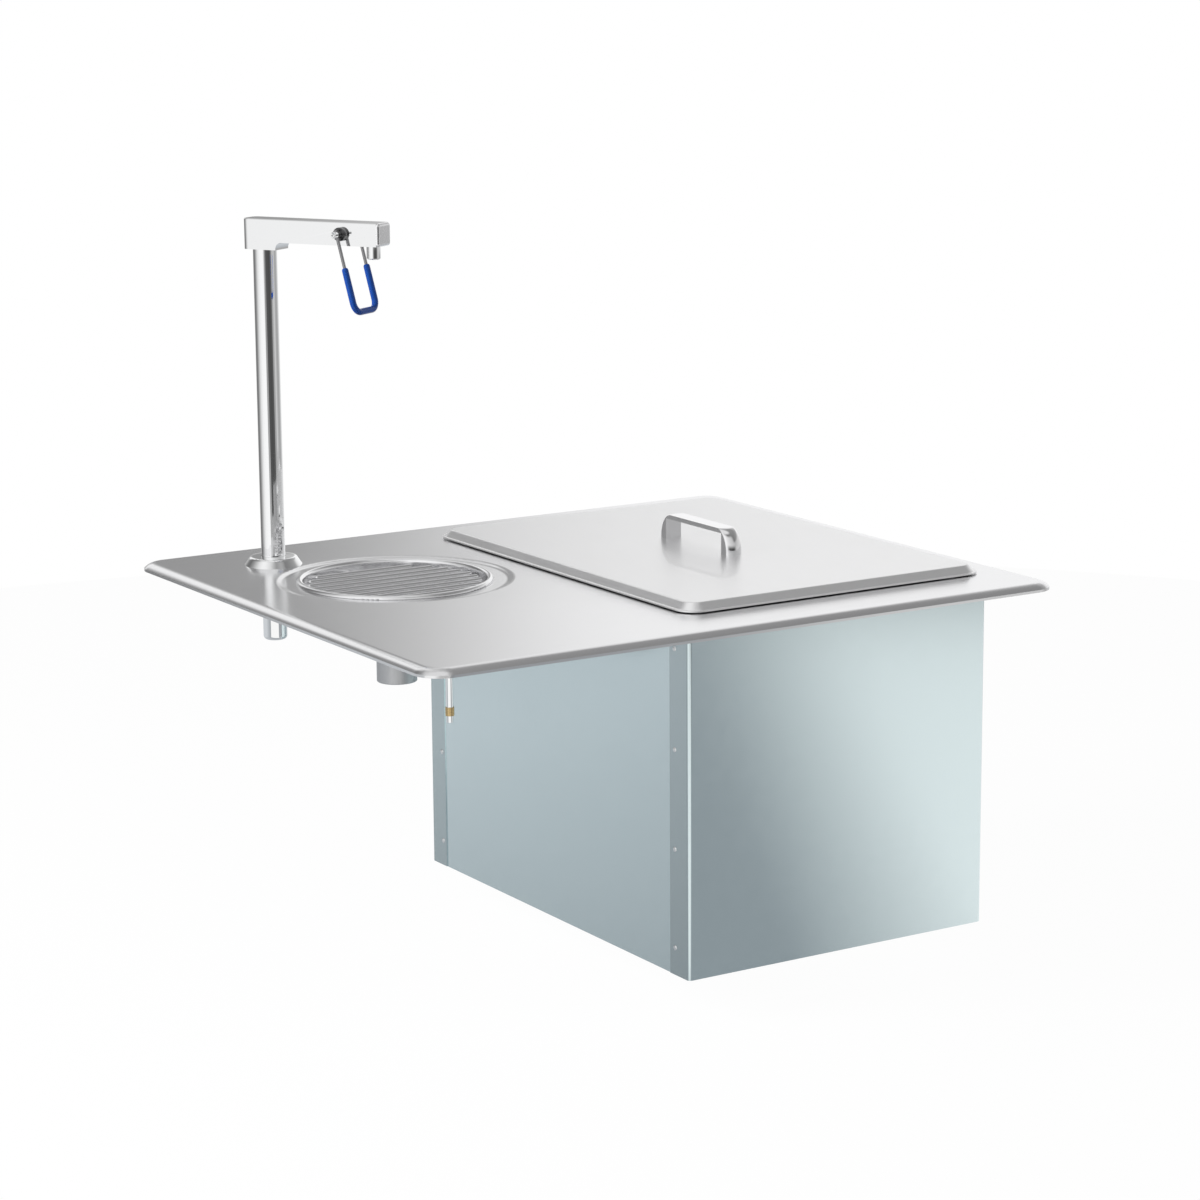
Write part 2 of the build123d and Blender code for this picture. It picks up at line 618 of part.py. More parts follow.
def arm_end_cap():
    """Square plate that closes the arm, with a grooved plug in the valve bore."""
    start = ARM_REACH - END_CAP_PLATE
    cap = block(start, ARM_REACH, -ARM_WIDTH / 2, ARM_WIDTH / 2, ARM_BOTTOM, ARM_TOP)
    cap = fillet(cap.edges().filter_by(Axis.X), ARM_EDGE_ROUND)
    cap += rod(VALVE_BORE - END_CAP_CLEARANCE, start - END_CAP_PLUG, start, BORE_Z)
    middle = start - END_CAP_PLUG / 2
    groove = rod(VALVE_BORE, middle - ORING_WIRE, middle + ORING_WIRE, BORE_Z)
    groove -= rod(VALVE_BORE - 2 * ORING_WIRE, middle - ORING_WIRE, middle + ORING_WIRE, BORE_Z)
    return AT_ARM * (cap - groove)


def end_cap_oring():
    """Seal in the groove of the end cap's plug."""
    middle = ARM_REACH - END_CAP_PLATE - END_CAP_PLUG / 2
    wire = ORING_WIRE - END_CAP_CLEARANCE
    return AT_ARM * Pos(middle, 0, BORE_Z) * Rot(0, 90, 0) * oring(VALVE_BORE - ORING_WIRE, wire)


def nozzle():
    """Round outlet screwed into the arm's underside."""
    bottom = ARM_BOTTOM - NOZZLE_LENGTH
    spigot_top = BORE_Z - VALVE_BORE
    points = [(NOZZLE_BORE, bottom), (NOZZLE_RADIUS - NOZZLE_CHAMFER, bottom),
              (NOZZLE_RADIUS, bottom + NOZZLE_CHAMFER), (NOZZLE_RADIUS, ARM_BOTTOM),
              (NOZZLE_SPIGOT - THREAD_CLEARANCE, ARM_BOTTOM), (NOZZLE_SPIGOT - THREAD_CLEARANCE, spigot_top),
              (NOZZLE_BORE, spigot_top)]
    return AT_ARM * Pos(NOZZLE_REACH, 0, 0) * turned(points)


# Lever

def both_sides(piece):
    """Piece and its mirror image across the arm's centre plane, as separate solids."""
    return [piece, mirror(piece, Plane.XZ)]


def pivot_pin():
    """Lever shaft with a socket in each end and two cross holes for the wire."""
    pin = cross_rod(PIN_RADIUS, -PIN_HALF, PIN_HALF)
    pin = chamfer(pin.edges().filter_by(GeomType.CIRCLE), PIN_CHAMFER)
    for side in (-1, 1):
        socket_start = side * PIN_HALF - (PIN_SOCKET_DEPTH if side > 0 else 0)
        pin -= cross_rod(PIN_SOCKET_RADIUS, socket_start, socket_start + PIN_SOCKET_DEPTH)
        hole = Pos(0, side * LEVER_SPREAD, 0) * disc(LEVER_WIRE, -2 * PIN_RADIUS, 2 * PIN_RADIUS)
        pin -= Rot(0, -LEVER_LEAN, 0) * hole
    return AT_PIVOT * pin


def pivot_bushes():
    """Two flanged bushes, one in each side of the arm."""
    flange_end = ARM_WIDTH / 2 + BUSH_FLANGE_HEIGHT
    bush = cross_rod(BUSH_BARREL - THREAD_CLEARANCE, BUSH_START, ARM_WIDTH / 2)
    bush += cross_rod(BUSH_FLANGE, ARM_WIDTH / 2, flange_end)
    bush -= cross_rod(PIN_RADIUS + PIN_FIT, BUSH_START, flange_end)
    return AT_PIVOT * Compound(children=both_sides(bush))


def pivot_orings():
    """Two seals on the pin, just inside the bushes."""
    ring_radius = PIN_RADIUS + PIN_FIT + ORING_WIRE
    seal = Pos(0, BUSH_START - ORING_WIRE, 0) * Rot(90, 0, 0) * oring(ring_radius, ORING_WIRE)
    return AT_PIVOT * Compound(children=both_sides(seal))


def lever_cam():
    """Hub on the pin with a rounded nose that pushes the valve stem."""
    nose = Pos(NOSE_X, 0, NOSE_Z) * cross_rod(NOSE_RADIUS, -CAM_HALF_WIDTH, CAM_HALF_WIDTH)
    hub = cross_rod(CAM_HUB, -CAM_HALF_WIDTH, CAM_HALF_WIDTH)
    web_angle = degrees(atan(NOSE_X / NOSE_Z))
    reach = (NOSE_X**2 + NOSE_Z**2) ** 0.5
    web = block(-NOSE_RADIUS, NOSE_RADIUS, -CAM_HALF_WIDTH, CAM_HALF_WIDTH, -reach, 0)
    cam = hub + Rot(0, web_angle, 0) * web + nose
    return AT_PIVOT * (cam - cross_rod(PIN_RADIUS, -CAM_HALF_WIDTH, CAM_HALF_WIDTH))


def lever_path(start):
    """U that starts a given distance below the pin on each leg, before it is leaned."""
    return FilletPolyline((0, -LEVER_SPREAD, -start), (0, -LEVER_SPREAD, -LEVER_DROP),
                          (0, LEVER_SPREAD, -LEVER_DROP), (0, LEVER_SPREAD, -start), radius=LEVER_CORNER)


def swept_round(path, radius):
    """Round bar along a path."""
    return sweep(Plane(path @ 0, z_dir=path % 0) * Circle(radius), path=path)


def lever_wire():
    """Bare U of wire whose ends pass through the pin."""
    return AT_PIVOT * Rot(0, -LEVER_LEAN, 0) * swept_round(lever_path(-LEVER_STUB), LEVER_WIRE)


def lever_grip():
    """Dipped coating over the lower part of the U."""
    path = lever_path(GRIP_START)
    grip = swept_round(path, GRIP_RADIUS) - swept_round(path, LEVER_WIRE + GRIP_FIT)
    return AT_PIVOT * Rot(0, -LEVER_LEAN, 0) * grip


# Valve inside the arm

def valve_seat():
    """Brass seat with a raised lip towards the column and a groove for its seal."""
    end = SEAT_START + SEAT_LENGTH
    seat = rod(VALVE_BORE - SEAT_FIT, SEAT_START, end, BORE_Z)
    seat += rod(SEAT_BORE + SEAT_LIP_WALL, SEAT_START - SEAT_LIP, SEAT_START, BORE_Z)
    seat -= rod(SEAT_BORE, SEAT_START - SEAT_LIP, end, BORE_Z)
    middle = SEAT_START + SEAT_LENGTH / 2
    groove = rod(VALVE_BORE, middle - SEAT_GROOVE / 2, middle + SEAT_GROOVE / 2, BORE_Z)
    groove -= rod(VALVE_BORE - 2 * ORING_WIRE, middle - SEAT_GROOVE / 2, middle + SEAT_GROOVE / 2, BORE_Z)
    return AT_ARM * (seat - groove)


def seat_oring():
    """Seal round the valve seat."""
    middle = SEAT_START + SEAT_LENGTH / 2
    wire = ORING_WIRE - SEAT_FIT
    return AT_ARM * Pos(middle, 0, BORE_Z) * Rot(0, 90, 0) * oring(VALVE_BORE - ORING_WIRE, wire)


def valve_stem():
    """Stem with a slotted follower disc, a poppet and a tail inside the spring."""
    stem = rod(STEM_RADIUS, POPPET_FACE, FOLLOWER_FACE, BORE_Z)
    follower = rod(FOLLOWER_RADIUS, FOLLOWER_FACE - FOLLOWER_THICKNESS, FOLLOWER_FACE, BORE_Z)
    for slot in range(3):
        cutter = block(0, ARM_REACH, -FOLLOWER_SLOT / 2, FOLLOWER_SLOT / 2, FOLLOWER_SLOT, VALVE_BORE)
        follower -= Pos(0, 0, BORE_Z) * Rot(120 * slot, 0, 0) * cutter
    stem += follower
    stem += rod(POPPET_RADIUS, POPPET_BACK, POPPET_FACE, BORE_Z)
    stem += rod(TAIL_RADIUS, POPPET_BACK - TAIL_LENGTH, POPPET_BACK, BORE_Z)
    return AT_ARM * stem


def stem_seal():
    """Rubber washer on the face of the poppet."""
    seal = rod(SEAL_RADIUS, POPPET_FACE, SEAL_FACE, BORE_Z)
    return AT_ARM * (seal - rod(STEM_RADIUS, POPPET_FACE, SEAL_FACE, BORE_Z))


def valve_spring():
    """Coil spring at the column end of the bore, drawn as short as when the valve is open.

    Its wire has many flat sides in place of a round section.
    """
    start = VALVE_BORE_START + SPRING_WIRE
    end = POPPET_BACK - VALVE_STROKE - SPRING_WIRE - SPRING_GAP
    path = Helix(pitch=(end - start) / SPRING_TURNS, height=end - start, radius=SPRING_RADIUS)
    section = Plane(path @ 0, z_dir=path % 0) * RegularPolygon(SPRING_WIRE, SPRING_WIRE_SIDES)
    coil = sweep(section, path=path, is_frenet=True)
    return AT_ARM * Pos(start, 0, BORE_Z) * Rot(0, 90, 0) * coil


# Supply tube

def tube_path():
    """Route from the connector along the left side, across, and down through the cut-out."""
    start_x = COLUMN_X - COLUMN_RADIUS - CONNECTOR_BODY
    return FilletPolyline(
        (start_x, COLUMN_Y, TUBE_LEVEL), (TUBE_SIDE_X, COLUMN_Y, TUBE_LEVEL),
        (TUBE_SIDE_X, TUBE_DROP_Y, TUBE_LEVEL), (TUBE_DROP_X, TUBE_DROP_Y, TUBE_LEVEL),
        (TUBE_DROP_X, TUBE_DROP_Y, TUBE_BOTTOM), radius=TUBE_BEND)


def supply_tube():
    """Thin bent tube whose open lower end is turned down a little below the ferrule."""
    path = tube_path()
    body = swept_round(path, TUBE_RADIUS) - swept_round(path, TUBE_BORE)
    skin = tube(TUBE_RADIUS + 1, TUBE_END_RADIUS, TUBE_BOTTOM, TUBE_BOTTOM + FERRULE_INSET)
    return body - Pos(TUBE_DROP_X, TUBE_DROP_Y, 0) * skin


def supply_connector():
    """Straight compression connector in the side port of the shank."""
    bore = TUBE_RADIUS + THREAD_CLEARANCE
    body = hex_nut(CONNECTOR_FLATS, TUBE_BORE, 0, CONNECTOR_BODY)
    body += tube(CONNECTOR_SPIGOT, TUBE_BORE, WATERWAY_RADIUS - COLUMN_RADIUS, 0)
    nut = hex_nut(CONNECTOR_NUT_FLATS, bore, CONNECTOR_BODY, CONNECTOR_BODY + CONNECTOR_NUT)
    place = Pos(COLUMN_X - COLUMN_RADIUS, COLUMN_Y, TUBE_LEVEL) * Rot(0, -90, 0)
    return place * (body + nut)


def supply_ferrule():
    """Brass ring close to the open end of the tube."""
    bottom = TUBE_BOTTOM + FERRULE_INSET
    ring_body = tube(FERRULE_RADIUS, TUBE_RADIUS + GRIP_FIT, bottom, bottom + FERRULE_LENGTH)
    return Pos(TUBE_DROP_X, TUBE_DROP_Y, 0) * ring_body


def tube_clips():
    """Two clips whose feet are welded to the underside of the deck."""
    inner = TUBE_RADIUS + THREAD_CLEARANCE
    outer = inner + CLIP_SHEET
    half = CLIP_WIDTH / 2
    loop = cross_rod(outer, -half, half) - cross_rod(inner, -half, half)
    strip_top = DECK_UNDERSIDE - TUBE_LEVEL
    strip = block(-CLIP_SHEET / 2, CLIP_SHEET / 2, -half, half, outer - CLIP_SHEET / 2, strip_top)
    foot = block(-CLIP_FOOT, CLIP_SHEET / 2, -half, half, strip_top - CLIP_SHEET, strip_top)
    clip = loop + strip + foot
    return Compound(children=[Pos(TUBE_SIDE_X, y, TUBE_LEVEL) * clip for y in CLIP_PLACES])


# Lid and handle

def lid_section():
    """Skirt of the lid: a flat foot flange, a sloped side and a rounded top edge."""
    bottom = LID_TOP - LID_SKIRT
    foot = bottom + LID_SHEET
    inner_top = LID_FLANGE + LID_SLOPE
    outer = [(0, foot), (LID_FLANGE, foot), (inner_top, LID_TOP), (inner_top + LID_BEND * 2, LID_TOP)]
    return sheet_section(outer, [LID_FOOT_BEND, LID_BEND], LID_SHEET, Side.RIGHT)


def lid():
    """Lid with holes for the two handle screws."""
    inset = LID_FLANGE + LID_SLOPE + LID_BEND * 2
    top = plate(LID_LENGTH - 2 * inset, LID_WIDTH - 2 * inset, LID_CORNER - inset, LID_UNDERSIDE, LID_TOP)
    body = ring(lid_section(), LID_LENGTH, LID_WIDTH, LID_CORNER) + top
    for y in handle_screw_places():
        body -= Pos(0, y, 0) * disc(SCREW_RADIUS + THREAD_CLEARANCE, LID_UNDERSIDE, LID_TOP)
    return AT_MOUTH * body


def handle_screw_places():
    """Distance of each handle screw from the middle of the lid, along Y."""
    foot = (HANDLE_LENGTH - HANDLE_WINDOW) / 2
    place = HANDLE_WINDOW / 2 + foot / 2
    return (-place, place)


def lid_handle():
    """Cast bow handle: elliptic ends, flat bar and a window with upright inner faces."""
    half, window = HANDLE_LENGTH / 2, HANDLE_WINDOW / 2
    shoulder = half - HANDLE_SHOULDER
    bar = HANDLE_HEIGHT - HANDLE_BAR
    right = EllipticalCenterArc((shoulder, HANDLE_FOOT_RISE), HANDLE_SHOULDER,
                                HANDLE_HEIGHT - HANDLE_FOOT_RISE, 0, arc_size=90)
    left = mirror(right, Plane.YZ)
    base = Polyline((-half, HANDLE_FOOT_RISE), (-half, 0), (-window, 0), (-window, bar), (window, bar),
                    (window, 0), (half, 0), (half, HANDLE_FOOT_RISE))
    crest = Line((shoulder, HANDLE_HEIGHT), (-shoulder, HANDLE_HEIGHT))
    outline = make_face([right, crest, left, *base.edges()])
    body = extrude(Plane.YZ * outline, HANDLE_BREADTH / 2, both=True)

    def on_crown(edge):
        middle = edge.center()
        outside = abs(middle.Y) > window + 0.1 or middle.Z > bar + 0.1
        return abs(middle.X) > HANDLE_BREADTH / 2 - 0.1 and middle.Z > HANDLE_FOOT_RISE and outside

    body = fillet(body.edges().filter_by(on_crown), HANDLE_EDGE_ROUND)
    for y in handle_screw_places():
        body -= Pos(0, y, 0) * disc(SCREW_RADIUS, 0, SCREW_DEPTH)
    return AT_MOUTH * Pos(0, 0, LID_TOP) * body


def handle_screws():
    """Two screws from below, through the lid into the feet of the handle."""
    head_top = LID_UNDERSIDE - WASHER_HEIGHT
    screw = disc(SCREW_RADIUS - THREAD_CLEARANCE, head_top, LID_TOP + SCREW_DEPTH - 1)
    screw += disc(SCREW_HEAD_RADIUS, head_top - SCREW_HEAD_HEIGHT, head_top)
    return AT_MOUTH * Compound(children=[Pos(0, y, 0) * screw for y in handle_screw_places()])


def handle_washers():
    """Flat washers under the screw heads."""
    bore = SCREW_RADIUS + THREAD_CLEARANCE
    washer = tube(WASHER_RADIUS, bore, LID_UNDERSIDE - WASHER_HEIGHT, LID_UNDERSIDE)
    return AT_MOUTH * Compound(children=[Pos(0, y, 0) * washer for y in handle_screw_places()])


# Ice bin

def dish_space():
    """Space of the shallow cone round the drain."""
    floor = BIN_FLOOR - DISH_DEPTH
    return turned([(0, BIN_FLOOR), (DISH_RADIUS, BIN_FLOOR), (DISH_FLAT, floor), (0, floor)])


def bin_box(grow, top):
    """Outside of the bin at a given distance from its inner face."""
    length, width = MOUTH_LENGTH + 2 * grow, MOUTH_WIDTH + 2 * grow
    box = plate(length, width, MOUTH_CORNER + grow, BIN_FLOOR - grow, top)
    return fillet(box.edges().group_by(Axis.Z)[0], BIN_FLOOR_BEND + grow)


def ice_bin():
    """Bin with rounded corners, a drain dish and a flange that turns down over the casing."""
    walls = bin_box(BIN_SHEET, DECK_UNDERSIDE) - bin_box(0, DECK_UNDERSIDE)
    walls += Pos(0, 0, -BIN_SHEET) * dish_space() - dish_space()
    walls -= dish_space()
    walls -= disc(BIN_THREAD_RADIUS + THREAD_CLEARANCE, BIN_FLOOR - DISH_DEPTH - BIN_SHEET, BIN_FLOOR)
    grow = FOAM_GAP + BIN_SHEET
    outside = AT_CASING * plate(CASING_LENGTH + 2 * grow, CASING_WIDTH + 2 * grow, CASING_BEND + grow,
                                CASING_TOP - BIN_LIP, DECK_UNDERSIDE)
    inside = AT_CASING * plate(CASING_LENGTH + 2 * FOAM_GAP, CASING_WIDTH + 2 * FOAM_GAP,
                               CASING_BEND + FOAM_GAP, CASING_TOP - BIN_LIP, CASING_TOP)
    mouth = AT_MOUTH * plate(MOUTH_LENGTH, MOUTH_WIDTH, MOUTH_CORNER, CASING_TOP, DECK_UNDERSIDE)
    return AT_MOUTH * walls + (outside - inside - mouth)


def insulation():
    """Foam between the bin and the casing, open round the nipple."""
    grow = CASING_SHEET * 2 + FOAM_GAP
    bottom = CASING_BOTTOM + CASING_SHEET
    foam = AT_CASING * block(-CASING_LENGTH / 2 + grow, CASING_LENGTH / 2 - grow,
                             -CASING_WIDTH / 2 + grow, CASING_WIDTH / 2 - grow, bottom, CASING_TOP)
    foam -= AT_MOUTH * bin_box(BIN_SHEET + FOAM_GAP, CASING_TOP)
    foam -= AT_MOUTH * Pos(0, 0, -BIN_SHEET - FOAM_GAP) * dish_space()
    return foam - AT_MOUTH * disc(BIN_THREAD_RADIUS + FOAM_GAP, bottom, BIN_FLOOR)


def bin_drain():
    """Flanged nipple through the dish, the foam and the casing."""
    floor = BIN_FLOOR - DISH_DEPTH
    top = floor + BIN_DRAIN_FLANGE_HEIGHT
    thread_end = CASING_BOTTOM - BIN_GASKET_HEIGHT - BIN_NUT_HEIGHT - NUT_EXPOSED_THREAD
    body = disc(BIN_DRAIN_FLANGE, floor, top) + disc(BIN_THREAD_RADIUS, thread_end, floor)
    body += disc(NIPPLE_RADIUS, NIPPLE_BOTTOM, thread_end)
    return AT_MOUTH * (body - disc(NIPPLE_BORE, NIPPLE_BOTTOM, top))


def bin_strainer():
    """Perforated disc that lies on the drain's flange."""
    bottom = BIN_FLOOR - DISH_DEPTH + BIN_DRAIN_FLANGE_HEIGHT
    top = bottom + STRAINER_HEIGHT
    body = disc(STRAINER_RADIUS, bottom, top) - disc(STRAINER_HOLE, bottom, top)
    for hole in range(STRAINER_HOLES):
        turn = Rot(0, 0, 360 / STRAINER_HOLES * hole)
        for radius in (STRAINER_RING / 2, STRAINER_RING):
            body -= turn * Pos(radius, 0, 0) * disc(STRAINER_HOLE, bottom, top)
    return AT_MOUTH * body


def bin_drain_gasket():
    """Rubber ring against the underside of the casing."""
    bottom = CASING_BOTTOM - BIN_GASKET_HEIGHT
    return AT_MOUTH * tube(BIN_GASKET_RADIUS, BIN_THREAD_RADIUS + THREAD_CLEARANCE, bottom, CASING_BOTTOM)


def bin_drain_nut():
    """Locknut on the nipple."""
    top = CASING_BOTTOM - BIN_GASKET_HEIGHT
    return AT_MOUTH * hex_nut(BIN_NUT_FLATS, BIN_THREAD_RADIUS + THREAD_CLEARANCE, top - BIN_NUT_HEIGHT, top)


# Casing

def rivet_heights():
    """Heights of the rivets along a corner seam."""
    step = (RIVET_LAST - RIVET_FIRST) / (RIVETS_PER_SEAM - 1)
    return [RIVET_FIRST + step * place for place in range(RIVETS_PER_SEAM)]


def seam_places():
    """Distance along Y from the casing's middle to each corner seam."""
    return (RIVET_INSET - CASING_WIDTH / 2, CASING_WIDTH / 2 - RIVET_INSET)


def rivet_holes(radius):
    """Bars along X that cut the rivet holes through both sides of the casing."""
    reach = CASING_LENGTH / 2 + 1
    holes = [Pos(0, y, 0) * rod(radius, -reach, reach, z) for y in seam_places() for z in rivet_heights()]
    return Part() + holes


def wrapped_panel(side, wrap):
    """End panel that turns round both side panels: side is -1 for the front and 1 for the back."""
    length, width = CASING_LENGTH / 2, CASING_WIDTH / 2
    inner_length, inner_width = length - CASING_SHEET, width - CASING_SHEET
    inner_bend = CASING_BEND - CASING_SHEET
    outer = plate(2 * length, 2 * width, CASING_BEND, CASING_BOTTOM, CASING_TOP)
    inner = plate(2 * inner_length, 2 * inner_width, inner_bend, CASING_BOTTOM, CASING_TOP)
    near, far = sorted((side * width, side * (width - wrap)))
    zone = block(-length, length, near, far, CASING_BOTTOM, CASING_TOP)
    panel = (outer - inner) & zone
    return AT_CASING * (panel - rivet_holes(RIVET_SHANK))


def casing_front():
    """Front panel with its two returns."""
    return wrapped_panel(-1, FRONT_WRAP)


def casing_back():
    """Back panel with its two returns."""
    return wrapped_panel(1, BACK_WRAP)


def side_panel(side):
    """Flat panel inside the returns: side is -1 for the left and 1 for the right."""
    outer = CASING_LENGTH / 2 - CASING_SHEET
    near, far = sorted((side * outer, side * (outer - CASING_SHEET)))
    end = CASING_WIDTH / 2 - CASING_BEND
    panel = block(near, far, -end, end, CASING_BOTTOM, CASING_TOP)
    return AT_CASING * (panel - rivet_holes(RIVET_SHANK))


def casing_left():
    """Side panel towards the drip cup."""
    return side_panel(-1)


def casing_right():
    """Side panel away from the drip cup."""
    return side_panel(1)


def casing_bottom():
    """Bottom plate between the four walls, with a hole for the nipple."""
    half_length = CASING_LENGTH / 2 - 2 * CASING_SHEET
    half_width = CASING_WIDTH / 2 - CASING_BEND
    pan = block(-half_length, half_length, -half_width, half_width, CASING_BOTTOM, CASING_BOTTOM + CASING_SHEET)
    return AT_CASING * pan - AT_MOUTH * disc(BIN_THREAD_RADIUS + THREAD_CLEARANCE, CASING_BOTTOM, CASING_TOP)


def casing_rivets():
    """Low-headed rivets through the returns and the side panels."""
    outside = CASING_LENGTH / 2
    shank_end = outside - 2 * CASING_SHEET
    head = turned([(0, 0), (RIVET_HEAD, 0), (RIVET_CROWN, RIVET_HEAD_HEIGHT), (0, RIVET_HEAD_HEIGHT)])
    rivet = Pos(outside, 0, 0) * Rot(0, 90, 0) * head + rod(RIVET_SHANK, shank_end, outside, 0)
    rivets = []
    for y in seam_places():
        for z in rivet_heights():
            rivets += [Pos(0, y, z) * rivet, Pos(0, y, z) * Rot(0, 0, 180) * rivet]
    return AT_CASING * Compound(children=rivets)


PIECES = (
    deck_top, drip_cup, drip_grate, cup_drain, cup_drain_gasket, cup_drain_nut,
    filler_column, column_shank, column_gasket, column_washer, column_nut, escutcheon,
    filler_arm, arm_end_cap, end_cap_oring, nozzle,
    pivot_pin, pivot_bushes, pivot_orings, lever_cam, lever_wire, lever_grip,
    valve_seat, seat_oring, valve_stem, stem_seal, valve_spring,
    supply_tube, supply_connector, supply_ferrule, tube_clips,
    lid, lid_handle, handle_screws, handle_washers,
    ice_bin, insulation, bin_drain, bin_strainer, bin_drain_gasket, bin_drain_nut,
    casing_front, casing_back, casing_left, casing_right, casing_bottom, casing_rivets,
)


def main():
    """Write one STEP file for each piece."""
    os.makedirs("parts", exist_ok=True)
    for piece in PIECES:
        export_step(piece(), f"parts/{piece.__name__}.step")


if __name__ == "__main__":
    main()
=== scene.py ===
"""Looks of a drop-in ice bin with a glass filler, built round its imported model.

Every length is in metres, in the model's own frame: the origin is the centre of the plane on which the
rim rests, +Z is up, X runs from the glass filler to the ice bin, and the user stands on the -Y side.
"""

import json
import logging
import math
from dataclasses import dataclass
from enum import Enum
from typing import Sequence

import bmesh
import bpy
from mathutils import Matrix, Vector

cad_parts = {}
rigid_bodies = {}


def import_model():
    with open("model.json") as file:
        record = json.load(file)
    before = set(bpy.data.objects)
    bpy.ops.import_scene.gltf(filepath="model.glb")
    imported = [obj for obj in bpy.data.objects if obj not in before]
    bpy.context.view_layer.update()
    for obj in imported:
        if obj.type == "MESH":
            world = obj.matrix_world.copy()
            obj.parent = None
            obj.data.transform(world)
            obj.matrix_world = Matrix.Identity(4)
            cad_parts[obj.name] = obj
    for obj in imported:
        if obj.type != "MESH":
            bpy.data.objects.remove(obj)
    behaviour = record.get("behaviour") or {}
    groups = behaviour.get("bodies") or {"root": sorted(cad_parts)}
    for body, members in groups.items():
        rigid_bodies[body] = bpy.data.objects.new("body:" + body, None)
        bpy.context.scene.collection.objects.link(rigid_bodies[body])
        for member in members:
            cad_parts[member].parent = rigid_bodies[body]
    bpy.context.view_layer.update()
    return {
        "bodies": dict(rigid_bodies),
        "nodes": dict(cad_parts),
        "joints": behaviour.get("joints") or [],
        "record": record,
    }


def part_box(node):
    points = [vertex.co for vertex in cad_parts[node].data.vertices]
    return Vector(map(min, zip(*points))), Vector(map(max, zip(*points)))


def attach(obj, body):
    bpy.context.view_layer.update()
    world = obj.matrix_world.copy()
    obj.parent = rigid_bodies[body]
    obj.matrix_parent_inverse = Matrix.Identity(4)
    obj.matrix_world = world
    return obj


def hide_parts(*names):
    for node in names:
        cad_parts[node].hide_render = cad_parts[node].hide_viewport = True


LOG = logging.getLogger("ice_bin")

Pair = tuple[float, float]
Colour = tuple[float, float, float]
Point = tuple[float, float, float]
Socket = bpy.types.NodeSocket
Node = bpy.types.Node
Mesh = bpy.types.Mesh
Material = bpy.types.Material

# Middle of the casing in plan, and the way the filler arm points, in degrees
CASING_CENTRE = (0.127, 0.011)
ARM_HEADING = -59.0


class Group(Enum):
    """Shader groups that several finishes share."""

    GRAIN = "Directional grain"
    MOTTLE = "Soft mottle"
    SPANGLE = "Zinc spangle"
    HANDLING = "Handling marks"


class Slot(Enum):
    """Finish slots of the record."""

    DECK = "deck_steel"
    LID = "lid_steel"
    CUP = "cup_steel"
    BIN = "bin_steel"
    CHROME = "chrome"
    HANDLE = "handle_steel"
    WIRE = "wire_steel"
    TAILPIECE = "tailpiece_grey"
    END_CAP = "end_cap_grey"
    CASING = "galvanised"
    FASTENER = "fastener_steel"
    BRASS = "brass"
    BLACK = "black_plastic"
    VINYL = "blue_vinyl"
    RUBBER = "rubber"
    FOAM = "foam"


# Node trees

class Nodes:
    """A tree of nodes, with short ways to add to it."""

    def __init__(self, tree: bpy.types.NodeTree) -> None:
        """Work on a tree.

        Args:
            tree: Tree of a material, of the world or of a group.
        """
        self.tree = tree

    def node(self, kind: str, inputs: dict | None = None, **settings: object) -> Node:
        """Add a node.

        Args:
            kind: Blender's name of the node.
            inputs: Value or socket for each input, or the name of an input of the group.
            **settings: Properties to set on the node.

        Returns:
            The new node.
        """
        made = self.tree.nodes.new(kind)
        for key, value in settings.items():
            setattr(made, key, value)
        for key, value in (inputs or {}).items():
            if isinstance(value, str):
                value = self.entry.outputs[value]
            if isinstance(value, Socket):
                self.tree.links.new(value, made.inputs[key])
            else:
                made.inputs[key].default_value = value
        return made

    def out(self, kind: str, inputs: dict | None = None, **settings: object) -> Socket:
        """First output of a new node, which is made as above."""
        return self.node(kind, inputs, **settings).outputs[0]

    def math(self, operation: str, *values: object) -> Socket:
        """Result of one sum, product or other operation."""
        return self.out("ShaderNodeMath", dict(enumerate(values)), operation=operation)

    def place(self) -> Sequence[Socket]:
        """X, Y and Z of the shaded point, in the frame."""
        point = self.node("ShaderNodeTexCoord").outputs["Object"]
        return self.node("ShaderNodeSeparateXYZ", {0: point}).outputs

    def fade(self, source: Socket, start: float, end: float, low: object = 0.0, high: object = 1.0,
             **settings: object) -> Socket:
        """Spread a value between two others.

        Args:
            source: Socket with the value.
            start: Value that gives the low result.
            end: Value that gives the high result.
            low: Result at the start.
            high: Result at the end.
            **settings: Properties of the node.

        Returns:
            The socket with the result, which stays between low and high.
        """
        inputs = {"Value": source, "From Min": start, "From Max": end, "To Min": low, "To Max": high}
        return self.node("ShaderNodeMapRange", inputs, **settings).outputs["Result"]

    def mix(self, share: Socket, low: object, high: object, **settings: object) -> Socket:
        """Mix two colours.

        Args:
            share: Socket that runs from 0, all low, to 1, all high.
            low: Socket, colour or grey level.
            high: Socket, colour or grey level.
            **settings: Properties of the node.

        Returns:
            The socket with the mixed colour.
        """
        inputs = {"Factor": share}
        for name, value in (("A", low), ("B", high)):
            if isinstance(value, float):
                value = (value, value, value)
            inputs[name] = (*value, 1.0) if isinstance(value, tuple) else value
        return self.node("ShaderNodeMix", inputs, data_type="RGBA", **settings).outputs["Result"]


